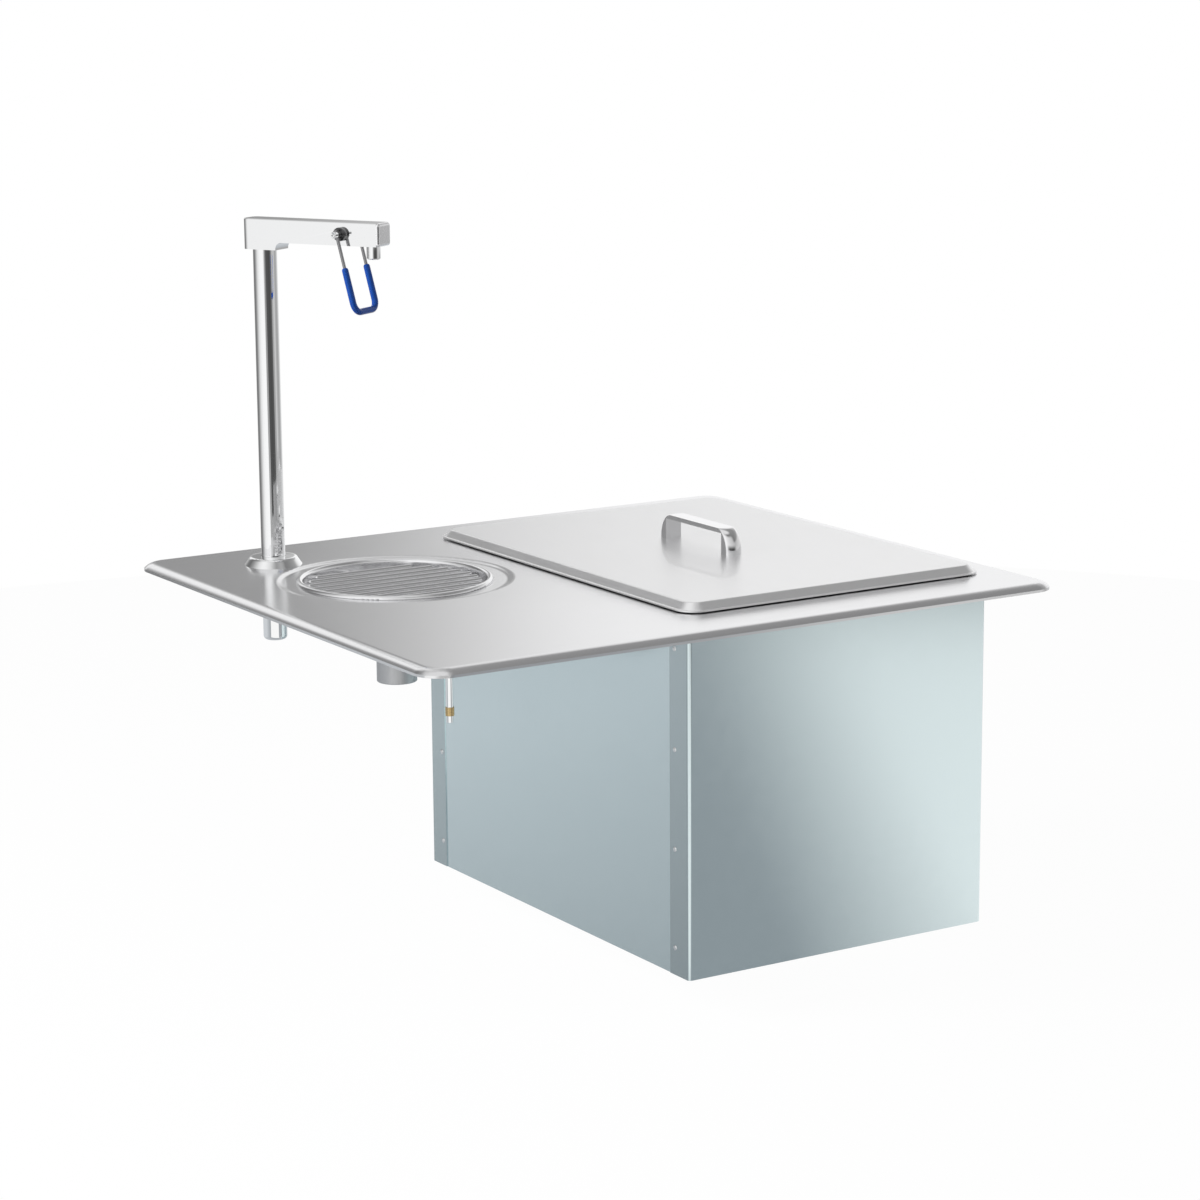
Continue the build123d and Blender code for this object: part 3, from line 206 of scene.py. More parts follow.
class GroupTree(Nodes):
    """A node group with named inputs and outputs."""

    def __init__(self, name: str, kind: str, inputs: dict[str, str], outputs: dict[str, str]) -> None:
        """Make the group.

        Args:
            name: Name of the group.
            kind: Blender's name for its kind of tree.
            inputs: Name of each input, and the last word of its kind of socket.
            outputs: The same for the outputs.
        """
        super().__init__(bpy.data.node_groups.new(name, kind))
        for side, sockets in (("INPUT", inputs), ("OUTPUT", outputs)):
            for key, value in sockets.items():
                self.tree.interface.new_socket(key, in_out=side, socket_type="NodeSocket" + value)
        self.entry = self.node("NodeGroupInput")


@dataclass(frozen=True)
class Texture:
    """Texture of a shared group, which gives a value, the texture's own shade and a relief."""

    kind: str
    output: str
    settings: dict[str, float]
    start: float
    end: float
    depth: float

    def build(self, name: str) -> None:
        """Make the group: its value runs from Low to High while the shade runs from start to end.

        Args:
            name: Name of the group.
        """
        group = GroupTree(name, "ShaderNodeTree",
                          {"Size": "Vector", "Low": "Float", "High": "Float", "Relief": "Float"},
                          {"Value": "Float", "Shade": "Float", "Normal": "Vector"})
        point = group.node("ShaderNodeTexCoord").outputs["Object"]
        scaled = group.out("ShaderNodeMapping", {"Vector": point, "Scale": "Size"})
        shade = group.node(self.kind, {"Vector": scaled, "Scale": 1.0, **self.settings}).outputs[self.output]
        normal = group.out("ShaderNodeBump", {"Height": shade, "Strength": "Relief", "Distance": self.depth})
        group.node("NodeGroupOutput", {"Value": group.fade(shade, self.start, self.end, "Low", "High"),
                                       "Shade": shade, "Normal": normal})


TEXTURES = {
    Group.GRAIN: Texture("ShaderNodeTexNoise", "Fac", {"Detail": 3.0}, 0.3, 0.7, 0.0002),
    Group.MOTTLE: Texture("ShaderNodeTexNoise", "Fac", {"Detail": 4.0, "Roughness": 0.55}, 0.3, 0.7, 0.001),
    Group.SPANGLE: Texture("ShaderNodeTexVoronoi", "Color", {}, 0.2, 0.8, 0.0002),
    Group.HANDLING: Texture("ShaderNodeTexNoise", "Fac", {"Detail": 5.0, "Distortion": 0.6}, 0.5, 0.75, 0.0),
}


# Finishes

class Finish(Nodes):
    """A material with one Principled shader."""

    def __init__(self, name: str, colour: Colour, values: dict[str, float]) -> None:
        """Make the material.

        Args:
            name: Name of the material.
            colour: Plain base colour, linear.
            values: The shader's other plain inputs.
        """
        self.material = bpy.data.materials.new(name)
        self.material.use_nodes = True
        super().__init__(self.material.node_tree)
        self.shader = self.tree.nodes["Principled BSDF"]
        for key, value in {"Base Color": (*colour, 1.0), **values}.items():
            self.shader.inputs[key].default_value = value

    def feed(self, target: str, source: Socket) -> None:
        """Join a socket to one of the shader's inputs."""
        self.tree.links.new(source, self.shader.inputs[target])

    def texture(self, which: Group, size: Point, low: float, high: float, relief: float) -> Node:
        """Place a shared group.

        Args:
            which: The group.
            size: Features in a metre, along X, Y and Z.
            low: Value at the start of its range.
            high: Value at the end of its range.
            relief: Strength of its relief.

        Returns:
            The group node.
        """
        inputs = {"Size": size, "Low": low, "High": high, "Relief": relief}
        return self.node("ShaderNodeGroup", inputs, node_tree=bpy.data.node_groups[which.value])

    def surface(self, which: Group, size: Point, low: float, high: float, relief: float) -> Node:
        """Let a shared group rule the roughness and, where it isn't 0, the relief.

        Args:
            which: The group.
            size: Features in a metre, along X, Y and Z.
            low: Lowest roughness.
            high: Highest roughness.
            relief: Strength of the relief.

        Returns:
            The group node.
        """
        node = self.texture(which, size, low, high, relief)
        self.feed("Roughness", node.outputs["Value"])
        if relief:
            self.feed("Normal", node.outputs["Normal"])
        return node


@dataclass(frozen=True)
class GrainedSteel:
    """Satin stainless sheet, wire or bar, with fine lines as rolling, brushing or spinning leaves them."""

    name: str
    colour: Colour
    lines: Point
    smooth: float
    rough: float
    relief: float = 0.1
    coat: float = 0.0
    metallic: float = 1.0

    def material(self) -> Material:
        """Make the material.

        Returns:
            The material.
        """
        finish = Finish(self.name, self.colour, {"Metallic": self.metallic, "Coat Weight": self.coat})
        finish.surface(Group.GRAIN, self.lines, self.smooth, self.rough, self.relief)
        return finish.material


@dataclass(frozen=True)
class Chrome:
    """Bright plating, dulled in places by faint smears and finger marks."""

    name: str
    colour: Colour
    clean: float
    marked: float
    marks: Point = (25.0, 25.0, 25.0)

    def material(self) -> Material:
        """Make the material.

        Returns:
            The material.
        """
        finish = Finish(self.name, self.colour, {"Metallic": 1.0})
        finish.surface(Group.HANDLING, self.marks, self.clean, self.marked, 0.0)
        return finish.material


@dataclass(frozen=True)
class Galvanised:
    """Zinc-coated sheet, a cool blue-grey with small flat crystals, with painted shade that darkens the
    panels where they wrap round the sides.
    """

    name: str
    dark: Colour
    light: Colour
    metallic: float
    crystals: Point = (120.0, 120.0, 120.0)
    smooth: float = 0.155
    rough: float = 0.17
    relief: float = 0.002
    # Painted shade where the front and back panels wrap round the sides: its reach from the casing's middle,
    # and the share of colour it leaves
    reach: Pair = (0.1617, 0.199)
    wrap_share: float = 0.74

    def material(self) -> Material:
        """Make the material.

        Returns:
            The material.
        """
        finish = Finish(self.name, self.dark, {"Metallic": self.metallic})
        crystals = finish.surface(Group.SPANGLE, self.crystals, self.smooth, self.rough, self.relief)
        colour = finish.mix(crystals.outputs["Shade"], self.dark, self.light)
        # Painted shade: the base colour is darkened where the panels wrap round the sides
        wraps = self.wraps(finish)
        finish.feed("Base Color", finish.mix(wraps, colour, self.wrap_share, blend_type="MULTIPLY"))
        return finish.material

    def wraps(self, finish: Finish) -> Socket:
        """Mask of the painted shade, 1 where the front and back panels wrap round the sides.

        Args:
            finish: The finish that uses it.

        Returns:
            The socket with the mask.
        """
        past = []
        for axis, centre, reach in zip(finish.place(), CASING_CENTRE, self.reach):
            distance = finish.math("ABSOLUTE", finish.math("SUBTRACT", axis, centre))
            past.append(finish.math("GREATER_THAN", distance, reach))
        return finish.math("MULTIPLY", *past)


@dataclass(frozen=True)
class Moulded:
    """Rubber, plastic or foam with a soft surface variation."""

    name: str
    dark: Colour
    light: Colour
    low: float
    high: float
    size: float
    relief: float = 0.1
    coat: float = 0.0
    coat_roughness: float = 0.08
    shine: float = 0.5

    def material(self) -> Material:
        """Make the material: its colour changes over patches three times as large as its relief.

        Returns:
            The material.
        """
        finish = Finish(self.name, self.dark, {"Specular IOR Level": self.shine, "Coat Weight": self.coat,
                                               "Coat Roughness": self.coat_roughness})
        finish.surface(Group.MOTTLE, (self.size,) * 3, self.low, self.high, self.relief)
        patches = finish.texture(Group.MOTTLE, (self.size / 3,) * 3, 0.0, 1.0, 0.0)
        finish.feed("Base Color", finish.mix(patches.outputs["Value"], self.dark, self.light))
        return finish.material


FINISHES = {
    Slot.DECK: GrainedSteel("deck_satin_steel", (0.86, 0.86, 0.87), (25.0, 700.0, 700.0), 0.17, 0.23, 0.03),
    Slot.LID: GrainedSteel("lid_satin_steel", (0.99, 0.99, 0.995), (700.0, 25.0, 700.0), 0.35, 0.41, 0.006,
                           coat=0.25, metallic=0.94),
    Slot.CUP: GrainedSteel("spun_cup_steel", (0.90, 0.90, 0.91), (500.0, 500.0, 900.0), 0.14, 0.24, 0.05),
    Slot.BIN: GrainedSteel("bin_liner_steel", (0.90, 0.91, 0.92), (60.0, 60.0, 800.0), 0.34, 0.42, 0.03,
                           metallic=0.55),
    Slot.CHROME: Chrome("bright_chrome", (0.93, 0.935, 0.94), 0.05, 0.09),
    Slot.HANDLE: Chrome("polished_handle_steel", (0.90, 0.90, 0.91), 0.02, 0.05),
    Slot.WIRE: GrainedSteel("drawn_wire_steel", (0.88, 0.88, 0.89), (900.0, 900.0, 900.0), 0.14, 0.26),
    Slot.TAILPIECE: GrainedSteel("grey_tailpiece", (0.62, 0.625, 0.635), (300.0, 300.0, 60.0), 0.4, 0.5),
    Slot.END_CAP: GrainedSteel("cast_end_cap", (0.90, 0.90, 0.91), (400.0, 400.0, 400.0), 0.13, 0.18, 0.01,
                               metallic=0.85),
    Slot.CASING: Galvanised("galvanised_sheet", (0.70, 0.80, 0.82), (0.715, 0.815, 0.835), 0.94),
    Slot.FASTENER: GrainedSteel("plated_fastener", (0.90, 0.905, 0.91), (500.0, 500.0, 500.0), 0.18, 0.28),
    Slot.BRASS: GrainedSteel("turned_brass", (0.62, 0.46, 0.23), (500.0, 500.0, 900.0), 0.22, 0.36),
    Slot.BLACK: Moulded("black_bush_plastic", (0.018, 0.018, 0.019), (0.03, 0.03, 0.031), 0.3, 0.42, 300.0,
                        relief=0.05, coat=0.5),
    Slot.VINYL: Moulded("blue_dipped_vinyl", (0.003, 0.05, 0.28), (0.004, 0.057, 0.31), 0.16, 0.22, 60.0,
                        relief=0.02, coat=0.2, shine=0.2),
    Slot.RUBBER: Moulded("black_rubber", (0.02, 0.02, 0.02), (0.035, 0.034, 0.033), 0.6, 0.75, 200.0),
    Slot.FOAM: Moulded("cut_foam", (0.62, 0.52, 0.30), (0.72, 0.62, 0.38), 0.8, 0.95, 250.0, 0.5),
}

NODE_FINISHES = {
    "lever_wire": GrainedSteel("dark_lever_wire", (0.34, 0.34, 0.35), (900.0, 900.0, 900.0), 0.16, 0.24),
}


# Studio

@dataclass(frozen=True)
class Wall:
    """Brightness round the room at one height: stops of azimuth in degrees and brightness."""

    rise: float
    stops: tuple[Pair, ...]


LEFT_BANDS = ((-180, 0.93), (-162, 1.0), (-140, 1.0), (-132, 0.62), (-122, 0.22), (-112, 0.09), (-80, 0.07),
              (-70, 0.13))
HIGH_BANDS = ((-180, 0.93), (-162, 1.0), (-140, 1.0), (-120, 0.8), (-95, 0.66), (-75, 0.58))
RIGHT_BANDS = ((118, 0.17), (135, 0.34), (150, 0.58), (163, 0.8), (180, 0.93))
SHEEN_STOPS = ((56.5, 1.0), (58.3, 0.96), (59.3, 0.84), (60.3, 0.68), (61.4, 0.52), (62.4, 0.42),
               (63.4, 0.33), (66.0, 0.3))
WALLS = (
    Wall(-0.12, LEFT_BANDS + ((-59, 0.37), (-47, 0.62), (-34, 0.57), (-19, 0.34), (0, 0.42), (24, 0.75),
                              (45, 1.0), (70, 0.9), (92, 0.24)) + RIGHT_BANDS),
    Wall(0.04, LEFT_BANDS + ((-50, 0.6), (0, 0.7), (30, 1.0)) + SHEEN_STOPS + ((78, 0.5), (92, 0.24))
         + RIGHT_BANDS),
    Wall(0.34, HIGH_BANDS + ((-50, 0.5), (0, 0.7), (30, 1.0)) + SHEEN_STOPS
         + ((70, 0.5), (75, 1.0), (90, 1.0), (98, 0.24), (112, 0.16)) + RIGHT_BANDS),
    Wall(0.54, HIGH_BANDS + ((-55, 0.2), (-30, 0.28), (20, 0.4), (40, 0.55), (50, 0.9), (62, 0.7), (70, 0.7),
                             (75, 1.0), (90, 1.0), (98, 0.24), (112, 0.16)) + RIGHT_BANDS),
    Wall(0.74, HIGH_BANDS + ((-50, 0.22), (-20, 0.26), (40, 0.3), (60, 0.5), (80, 0.9), (96, 0.3),
                             (112, 0.25)) + RIGHT_BANDS[1:]),
    Wall(0.9, ((-180, 0.9), (-130, 0.6), (-100, 0.2), (-50, 0.25), (30, 0.3), (60, 0.6), (120, 0.7),
               (180, 0.9))),
    Wall(0.98, ((-180, 0.8), (180, 0.8))),
)


@dataclass(frozen=True)
class Lamp:
    """Square soft lamp, with its side in metres and its power in watts."""

    name: str
    place: Point
    size: float
    power: float


LAMPS = (Lamp("right_lamp", (1.6, -1.7, 0.9), 1.4, 18.0), Lamp("left_lamp", (-2.4, 0.4, 1.1), 1.2, 85.0))


class Room(Nodes):
    """Walls of the room as nodes of the world."""

    def __init__(self, tree: bpy.types.NodeTree) -> None:
        """Work out the azimuth and the height of each ray.

        Args:
            tree: Node tree of the world.
        """
        super().__init__(tree)
        ray = self.node("ShaderNodeTexCoord").outputs["Generated"]
        x, y, self.rise = self.node("ShaderNodeSeparateXYZ", {0: ray}).outputs
        self.share = self.fade(self.math("ARCTAN2", y, x), -math.pi, math.pi)

    def wall(self, wall: Wall) -> Socket:
        """Brightness of one wall by azimuth.

        Args:
            wall: The wall.

        Returns:
            The socket with its colour.
        """
        node = self.node("ShaderNodeValToRGB", {"Fac": self.share})
        elements = node.color_ramp.elements
        elements[0].position = 0.0
        elements[1].position = 1.0
        for element, (_, grey) in zip(elements, (wall.stops[0], wall.stops[-1])):
            element.color = (grey, grey, grey, 1.0)
        for angle, grey in wall.stops[1:-1]:
            elements.new((angle + 180.0) / 360.0).color = (grey, grey, grey, 1.0)
        return node.outputs["Color"]

    def walls(self) -> Socket:
        """All walls, each run into the next by height.

        Returns:
            The socket with the colour of the room.
        """
        colour = self.wall(WALLS[0])
        for lower, upper in zip(WALLS, WALLS[1:]):
            share = self.fade(self.rise, lower.rise, upper.rise, interpolation_type="SMOOTHSTEP")
            colour = self.mix(share, colour, self.wall(upper))
        return colour


@dataclass(frozen=True)
class Studio:
    """Camera, light and floor of the photograph."""

    lens: float = 101.93
    sensor: float = 36.0
    clip: Pair = (0.1, 50.0)
    place: Point = (-1.608856, -2.593655, 0.618032)
    right: Point = (0.847199, -0.531227, -0.007227)
    up: Point = (0.114722, 0.169642, 0.978806)
    back: Point = (-0.518742, -0.830072, 0.204664)
    floor_height: float = -0.3625
    floor_radius: float = 1.95
    floor_glow: float = 0.97
    floor_slant: float = 0.571
    floor_sides: int = 96
    floor_paint: Colour = (0.9, 0.9, 0.9)
    floor_roughness: float = 0.9
    # Painted glow of the floor, seen only in reflections: its tones and where they change
    near_tone: Colour = (0.335, 0.355, 0.375)
    far_tone: Colour = (0.635, 0.66, 0.685)
    lit_tone: Colour = (1.0, 1.0, 0.99)
    dim_depth: Pair = (-0.3, 0.9)
    right_breadth: Pair = (-0.035, 0.2)
    right_depth: Pair = (0.25, -0.1)
    left_breadth: Pair = (-0.05, -0.13)
    left_depth: Pair = (-0.2, -0.3)
    ambient: float = 0.2
    lamp_aim: Point = (0.1, 0.0, -0.1)

    def build(self) -> None:
        """Make all of it."""
        self.make_camera()
        self.make_world()
        self.make_lamps()
        self.make_floor()
        bpy.context.scene.view_settings.view_transform = "Standard"

    def make_camera(self) -> None:
        """Put the camera where the photograph was taken."""
        data = bpy.data.cameras.new("camera")
        data.lens = self.lens
        data.sensor_width = self.sensor
        data.clip_start, data.clip_end = self.clip
        camera = bpy.data.objects.new("camera", data)
        turn = Matrix((self.right, self.up, self.back)).transposed()
        camera.matrix_world = Matrix.Translation(self.place) @ turn.to_4x4()
        bpy.context.scene.collection.objects.link(camera)
        bpy.context.scene.camera = camera

    def make_world(self) -> None:
        """Plain soft room: even light, with darker stretches of wall that metal reflects."""
        world = bpy.data.worlds.new("studio")
        world.use_nodes = True
        bpy.context.scene.world = world
        tree = world.node_tree
        tree.nodes.clear()
        room = Room(tree)
        path = room.node("ShaderNodeLightPath").outputs
        mirrored = room.math("ADD", path["Is Glossy Ray"], path["Is Transmission Ray"])
        light = room.mix(mirrored, self.ambient, room.walls())
        final = room.mix(path["Is Camera Ray"], light, 1.0)
        background = room.out("ShaderNodeBackground", {"Color": final})
        room.node("ShaderNodeOutputWorld", {"Surface": background})

    def make_lamps(self) -> None:
        """Two large soft lamps, which metal doesn't show."""
        for lamp in LAMPS:
            data = bpy.data.lights.new(lamp.name, "AREA")
            data.shape = "SQUARE"
            data.size = lamp.size
            data.energy = lamp.power
            holder = bpy.data.objects.new(lamp.name, data)
            aim = (Vector(self.lamp_aim) - Vector(lamp.place)).to_track_quat("-Z", "Y")
            holder.matrix_world = Matrix.Translation(lamp.place) @ aim.to_matrix().to_4x4()
            holder.visible_glossy = False
            bpy.context.scene.collection.objects.link(holder)

    def make_floor(self) -> None:
        """Round pale floor under the object, white to the camera, with a painted glow in reflections."""
        turns = [2 * math.pi * k / self.floor_sides for k in range(self.floor_sides)]
        rim = [(self.floor_radius * math.cos(turn), self.floor_radius * math.sin(turn), self.floor_height)
               for turn in turns]
        mesh = bpy.data.meshes.new("floor")
        mesh.from_pydata(rim, [], [list(range(self.floor_sides))])
        floor = bpy.data.objects.new("floor", mesh)
        bpy.context.scene.collection.objects.link(floor)
        paint = Finish("pale_floor", self.floor_paint,
                       {"Roughness": self.floor_roughness, "Specular IOR Level": 0.0})
        path = paint.node("ShaderNodeLightPath").outputs
        white = paint.out("ShaderNodeEmission")
        # Painted reflection: the floor glows with a patterned tone for glossy rays
        mirrored = paint.out("ShaderNodeEmission", {"Color": self.floor_tone(paint)})
        glow = paint.math("MULTIPLY", path["Is Camera Ray"], self.floor_glow)
        seen = paint.out("ShaderNodeMixShader", {0: glow, 1: paint.shader.outputs[0], 2: white})
        mixed = paint.out("ShaderNodeMixShader", {0: path["Is Glossy Ray"], 1: seen, 2: mirrored})
        paint.tree.links.new(mixed, paint.tree.nodes["Material Output"].inputs["Surface"])
        mesh.materials.append(paint.material)

    def floor_tone(self, paint: Finish) -> Socket:
        """Painted glow of the floor, seen only in reflections: dim in front on the left, light in front on
        the right.

        Args:
            paint: Finish of the floor.

        Returns:
            The socket with the colour.
        """
        x, y, _ = paint.place()
        across = paint.math("MULTIPLY_ADD", y, self.floor_slant, x)
        right = paint.math("MULTIPLY", paint.fade(across, *self.right_breadth),
                           paint.fade(y, *self.right_depth))
        left = paint.math("MULTIPLY", paint.fade(x, *self.left_breadth), paint.fade(y, *self.left_depth))
        dim = paint.mix(paint.fade(y, *self.dim_depth), self.near_tone, self.far_tone)
        return paint.mix(paint.math("MAXIMUM", right, left), dim, self.lit_tone)


# Mesh work

# Corners this close are one, and places this close are level, in metres
MERGE = 1e-6
LEVEL = 1e-3


def faceted(mesh: Mesh, sharp: float) -> None:
    """Smooth a mesh, apart from the edges that turn by more than an angle.

    Args:
        mesh: The mesh, with its doubles merged.
        sharp: Turn in degrees past which an edge stays sharp.
    """
    mesh.shade_smooth()
    mesh.set_sharp_from_angle(angle=math.radians(sharp))


def baked(mesh: Mesh, *modifiers: tuple[str, dict]) -> Mesh:
    """Apply modifiers to a mesh.

    Args:
        mesh: The mesh to start from.
        *modifiers: Each modifier's kind and its settings. A key that starts with an underscore is the
            identifier of a geometry input, without that underscore.

    Returns:
        A new plain mesh.
    """
    holder = bpy.data.objects.new("holder", mesh)
    bpy.context.scene.collection.objects.link(holder)
    for kind, settings in modifiers:
        modifier = holder.modifiers.new(kind, kind)
        for key, value in settings.items():
            if key.startswith("_"):
                modifier[key[1:]] = value
            else:
                setattr(modifier, key, value)
    graph = bpy.context.evaluated_depsgraph_get()
    result = bpy.data.meshes.new_from_object(holder.evaluated_get(graph))
    bpy.data.objects.remove(holder)
    return result


def even_normals(mesh: Mesh) -> Mesh:
    """Let large faces rule the shading, so that flats stay flat beside their bends."""
    return baked(mesh, ("WEIGHTED_NORMAL", {"keep_sharp": True, "weight": 50}))


def lofted(points: Sequence[Point], size: int, name: str, sharp: float) -> Mesh:
    """Closed skin over rings of points.

    Args:
        points: Corners in metres, ring after ring.
        size: Number of corners in each ring.
        name: Name of the mesh.
        sharp: Turn in degrees past which an edge stays sharp.

    Returns:
        The mesh, smoothed, with its faces outwards.
    """
    faces = []
    for near in range(0, len(points) - size, size):
        for k in range(size):
            after = (k + 1) % size
            faces.append((near + k, near + after, near + size + after, near + size + k))
    faces.append(tuple(range(size)))
    faces.append(tuple(range(len(points) - size, len(points))))
    mesh = bpy.data.meshes.new(name)
    mesh.from_pydata(points, [], faces)
    work = bmesh.new()
    work.from_mesh(mesh)
    bmesh.ops.remove_doubles(work, verts=work.verts, dist=MERGE)
    bmesh.ops.recalc_face_normals(work, faces=work.faces)
    work.to_mesh(mesh)
    work.free()
    faceted(mesh, sharp)
    return even_normals(mesh)


class Dresser:
    """Gives each node and piece its finish and its place in the frame."""

    def __init__(self, frame: dict) -> None:
        """Make one material for each slot.
        """
        self.nodes = frame["nodes"]
        parts = frame["record"]["subparts"]
        self.slots = {part["node"]: Slot(part["material_slot"]) for part in parts}
        bodies = frame["record"]["behaviour"]["bodies"]
        self.bodies = {node: body for body, nodes in bodies.items() for node in nodes}
        self.materials = {slot: finish.material() for slot, finish in FINISHES.items()}
        self.own = {node: finish.material() for node, finish in NODE_FINISHES.items()}

    def finish(self, node: str) -> Material:
        """Material of a node: its own, or else the one of its slot."""
        return self.own.get(node) or self.materials[self.slots[node]]

    def dress_nodes(self) -> None:
        """Give each node its finish."""
        for name, node in self.nodes.items():
            mesh = node.data
            mesh.materials.clear()
            mesh.materials.append(self.finish(name))
            LOG.info("dressed %s in %s", name, self.slots[name].value)

    def place(self, name: str, mesh: Mesh, node: str) -> bpy.types.Object:
        """Put a finished mesh in the place of a node.

        Args:
            name: Name of the piece.
            mesh: Its mesh, in the frame.
            node: The node that it stands for.

        Returns:
            The piece.
        """
        mesh.name = name
        mesh.materials.clear()
        mesh.materials.append(self.finish(node))
        piece = bpy.data.objects.new(name, mesh)
        bpy.context.scene.collection.objects.link(piece)
        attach(piece, self.bodies[node])
        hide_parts(node)
        LOG.info("made %s, %d faces, for %s", name, len(mesh.polygons), node)
        return piece


@dataclass(frozen=True)
class SoftStep:
    """Step round the cup's recess, eased to the breadth of the photograph's highlight."""

    centre: Pair = (-0.1632, 0.0706)
    radius: float = 0.110
    run: float = 0.004
    eased_run: float = 0.009

    def move(self, point: Vector) -> Vector:
        """Ease a corner of the deck.

        Args:
            point: Place of the corner.

        Returns:
            Its new place.
        """
        flat = Vector((point.x - self.centre[0], point.y - self.centre[1]))
        inwards = self.radius - flat.length
        if not -MERGE < inwards < self.run + MERGE:
            return point
        flat *= (self.radius - inwards * self.eased_run / self.run) / flat.length
        return Vector((self.centre[0] + flat.x, self.centre[1] + flat.y, point.z))


@dataclass(frozen=True)
class SoftCorners:
    """Upright bends of the casing, eased to the breadth of the photograph's highlight."""

    centre: Pair = CASING_CENTRE
    half: Pair = (0.162, 0.229)
    bend: float = 0.002
    eased_bend: float = 0.0036

    def move(self, point: Vector) -> Vector:
        """Ease a corner of one of the panels.

        Args:
            point: Place of the corner.

        Returns:
            Its new place.
        """
        sides = [math.copysign(1.0, point[axis] - self.centre[axis]) for axis in (0, 1)]
        middle = [self.centre[axis] + sides[axis] * (self.half[axis] - self.bend) for axis in (0, 1)]
        out = Vector((point.x - middle[0], point.y - middle[1]))
        if sides[0] * out.x < -MERGE or sides[1] * out.y < -MERGE:
            return point
        grow = self.eased_bend - self.bend
        out *= (out.length + grow) / out.length
        return Vector((middle[0] - sides[0] * grow + out.x, middle[1] - sides[1] * grow + out.y, point.z))


@dataclass(frozen=True)
class Rounding:
    """Smooth shading for the nodes that keep their own form."""

    sharp: float = 28.0
    step: SoftStep = SoftStep()
    corners: SoftCorners = SoftCorners()
    nodes: tuple[str, ...] = (
        "deck_top", "drip_cup", "cup_drain", "cup_drain_nut", "cup_drain_gasket", "filler_column",
        "column_shank", "column_gasket", "column_washer", "column_nut", "escutcheon", "filler_arm", "nozzle",
        "pivot_pin", "pivot_bushes", "lever_cam", "lever_wire", "supply_tube", "supply_connector",
        "supply_ferrule", "tube_clips", "lid", "handle_screws", "handle_washers", "ice_bin", "bin_drain",
        "bin_drain_nut", "bin_drain_gasket", "casing_front", "casing_back", "casing_left", "casing_right",
        "casing_bottom")

    def build(self, dresser: Dresser) -> None:
        """Make a smooth copy of each node.

        Args:
            dresser: Holds nodes and finishes.
        """
        for node in self.nodes:
            work = bmesh.new()
            work.from_mesh(dresser.nodes[node].data)
            bmesh.ops.remove_doubles(work, verts=work.verts, dist=MERGE)
            eased = self.step if node == "deck_top" else self.corners if node.startswith("casing") else None
            for vertex in work.verts if eased else ():
                vertex.co = eased.move(vertex.co)
            mesh = bpy.data.meshes.new(node)
            work.to_mesh(mesh)
            work.free()
            faceted(mesh, self.sharp)
            dresser.place("smooth_" + node, even_normals(mesh), node)


# Pieces that repeat, grown by geometry nodes

class Pattern(GroupTree):
    """A tree of geometry nodes with named sizes."""

    def __init__(self, name: str, **sizes: float) -> None:
        """Start the tree.

        Args:
            name: Name of the tree.
            **sizes: Inputs and their values: whole numbers are counts, the others lengths in metres.
        """
        kinds = {key: "Int" if isinstance(value, int) else "Float" for key, value in sizes.items()}
        super().__init__(name, "GeometryNodeTree", {**kinds, "Finish": "Material"}, {"Geometry": "Geometry"})
        self.sizes = sizes

    def vector(self, x: object = 0.0, y: object = 0.0, z: object = 0.0) -> Socket:
        """Three numbers as one vector."""
        return self.out("ShaderNodeCombineXYZ", {0: x, 1: y, 2: z})

    def ball(self, sides: int, rings: int, radius: str) -> Socket:
        """Sphere with one of the sizes as its radius."""
        return self.out("GeometryNodeMeshUVSphere", {"Segments": sides, "Rings": rings, "Radius": radius})

    def drum(self, sides: int, radius: str, depth: object) -> Socket:
        """Cylinder along Z with one of the sizes as its radius."""
        return self.out("GeometryNodeMeshCylinder", {"Vertices": sides, "Radius": radius, "Depth": depth})

    def moved(self, shape: Socket, **change: object) -> Socket:
        """Shape moved, turned or scaled, by the inputs' own names."""
        return self.out("GeometryNodeTransform", {"Geometry": shape, **change})

    def real(self, shape: Socket) -> Socket:
        """Shape with its copies made real."""
        return self.out("GeometryNodeRealizeInstances", {"Geometry": shape})

    def copies(self, points: Socket, shape: Socket, scale: object = (1.0, 1.0, 1.0)) -> Socket:
        """One copy of a shape at each point."""
        inputs = {"Points": points, "Instance": shape, "Scale": scale}
        return self.out("GeometryNodeInstanceOnPoints", inputs)

    def joined(self, shapes: Sequence[Socket]) -> Socket:
        """Join shapes.

        Args:
            shapes: The shapes.

        Returns:
            All of them as one.
        """
        join = self.node("GeometryNodeJoinGeometry")
        for shape in shapes:
            self.tree.links.new(shape, join.inputs[0])
        return join.outputs[0]

    def grow(self, shape: Socket, finish: Material, sharp: float) -> Mesh:
        """End the tree and turn its result into a plain mesh.

        Args:
            shape: The tree's last shape.
            finish: Material of the result.
            sharp: Turn in degrees past which an edge stays sharp.

        Returns:
            The mesh, about the origin of the pattern.
        """
        dressed = self.out("GeometryNodeSetMaterial", {"Geometry": self.real(shape), "Material": "Finish"})
        self.node("NodeGroupOutput", {0: dressed})
        settings = {"node_group": self.tree}
        for item in self.tree.interface.items_tree:
            if item.in_out == "INPUT":
                settings["_" + item.identifier] = finish if item.name == "Finish" else self.sizes[item.name]
        mesh = baked(bpy.data.meshes.new("seed"), ("NODES", settings))
        faceted(mesh, sharp)
        return mesh


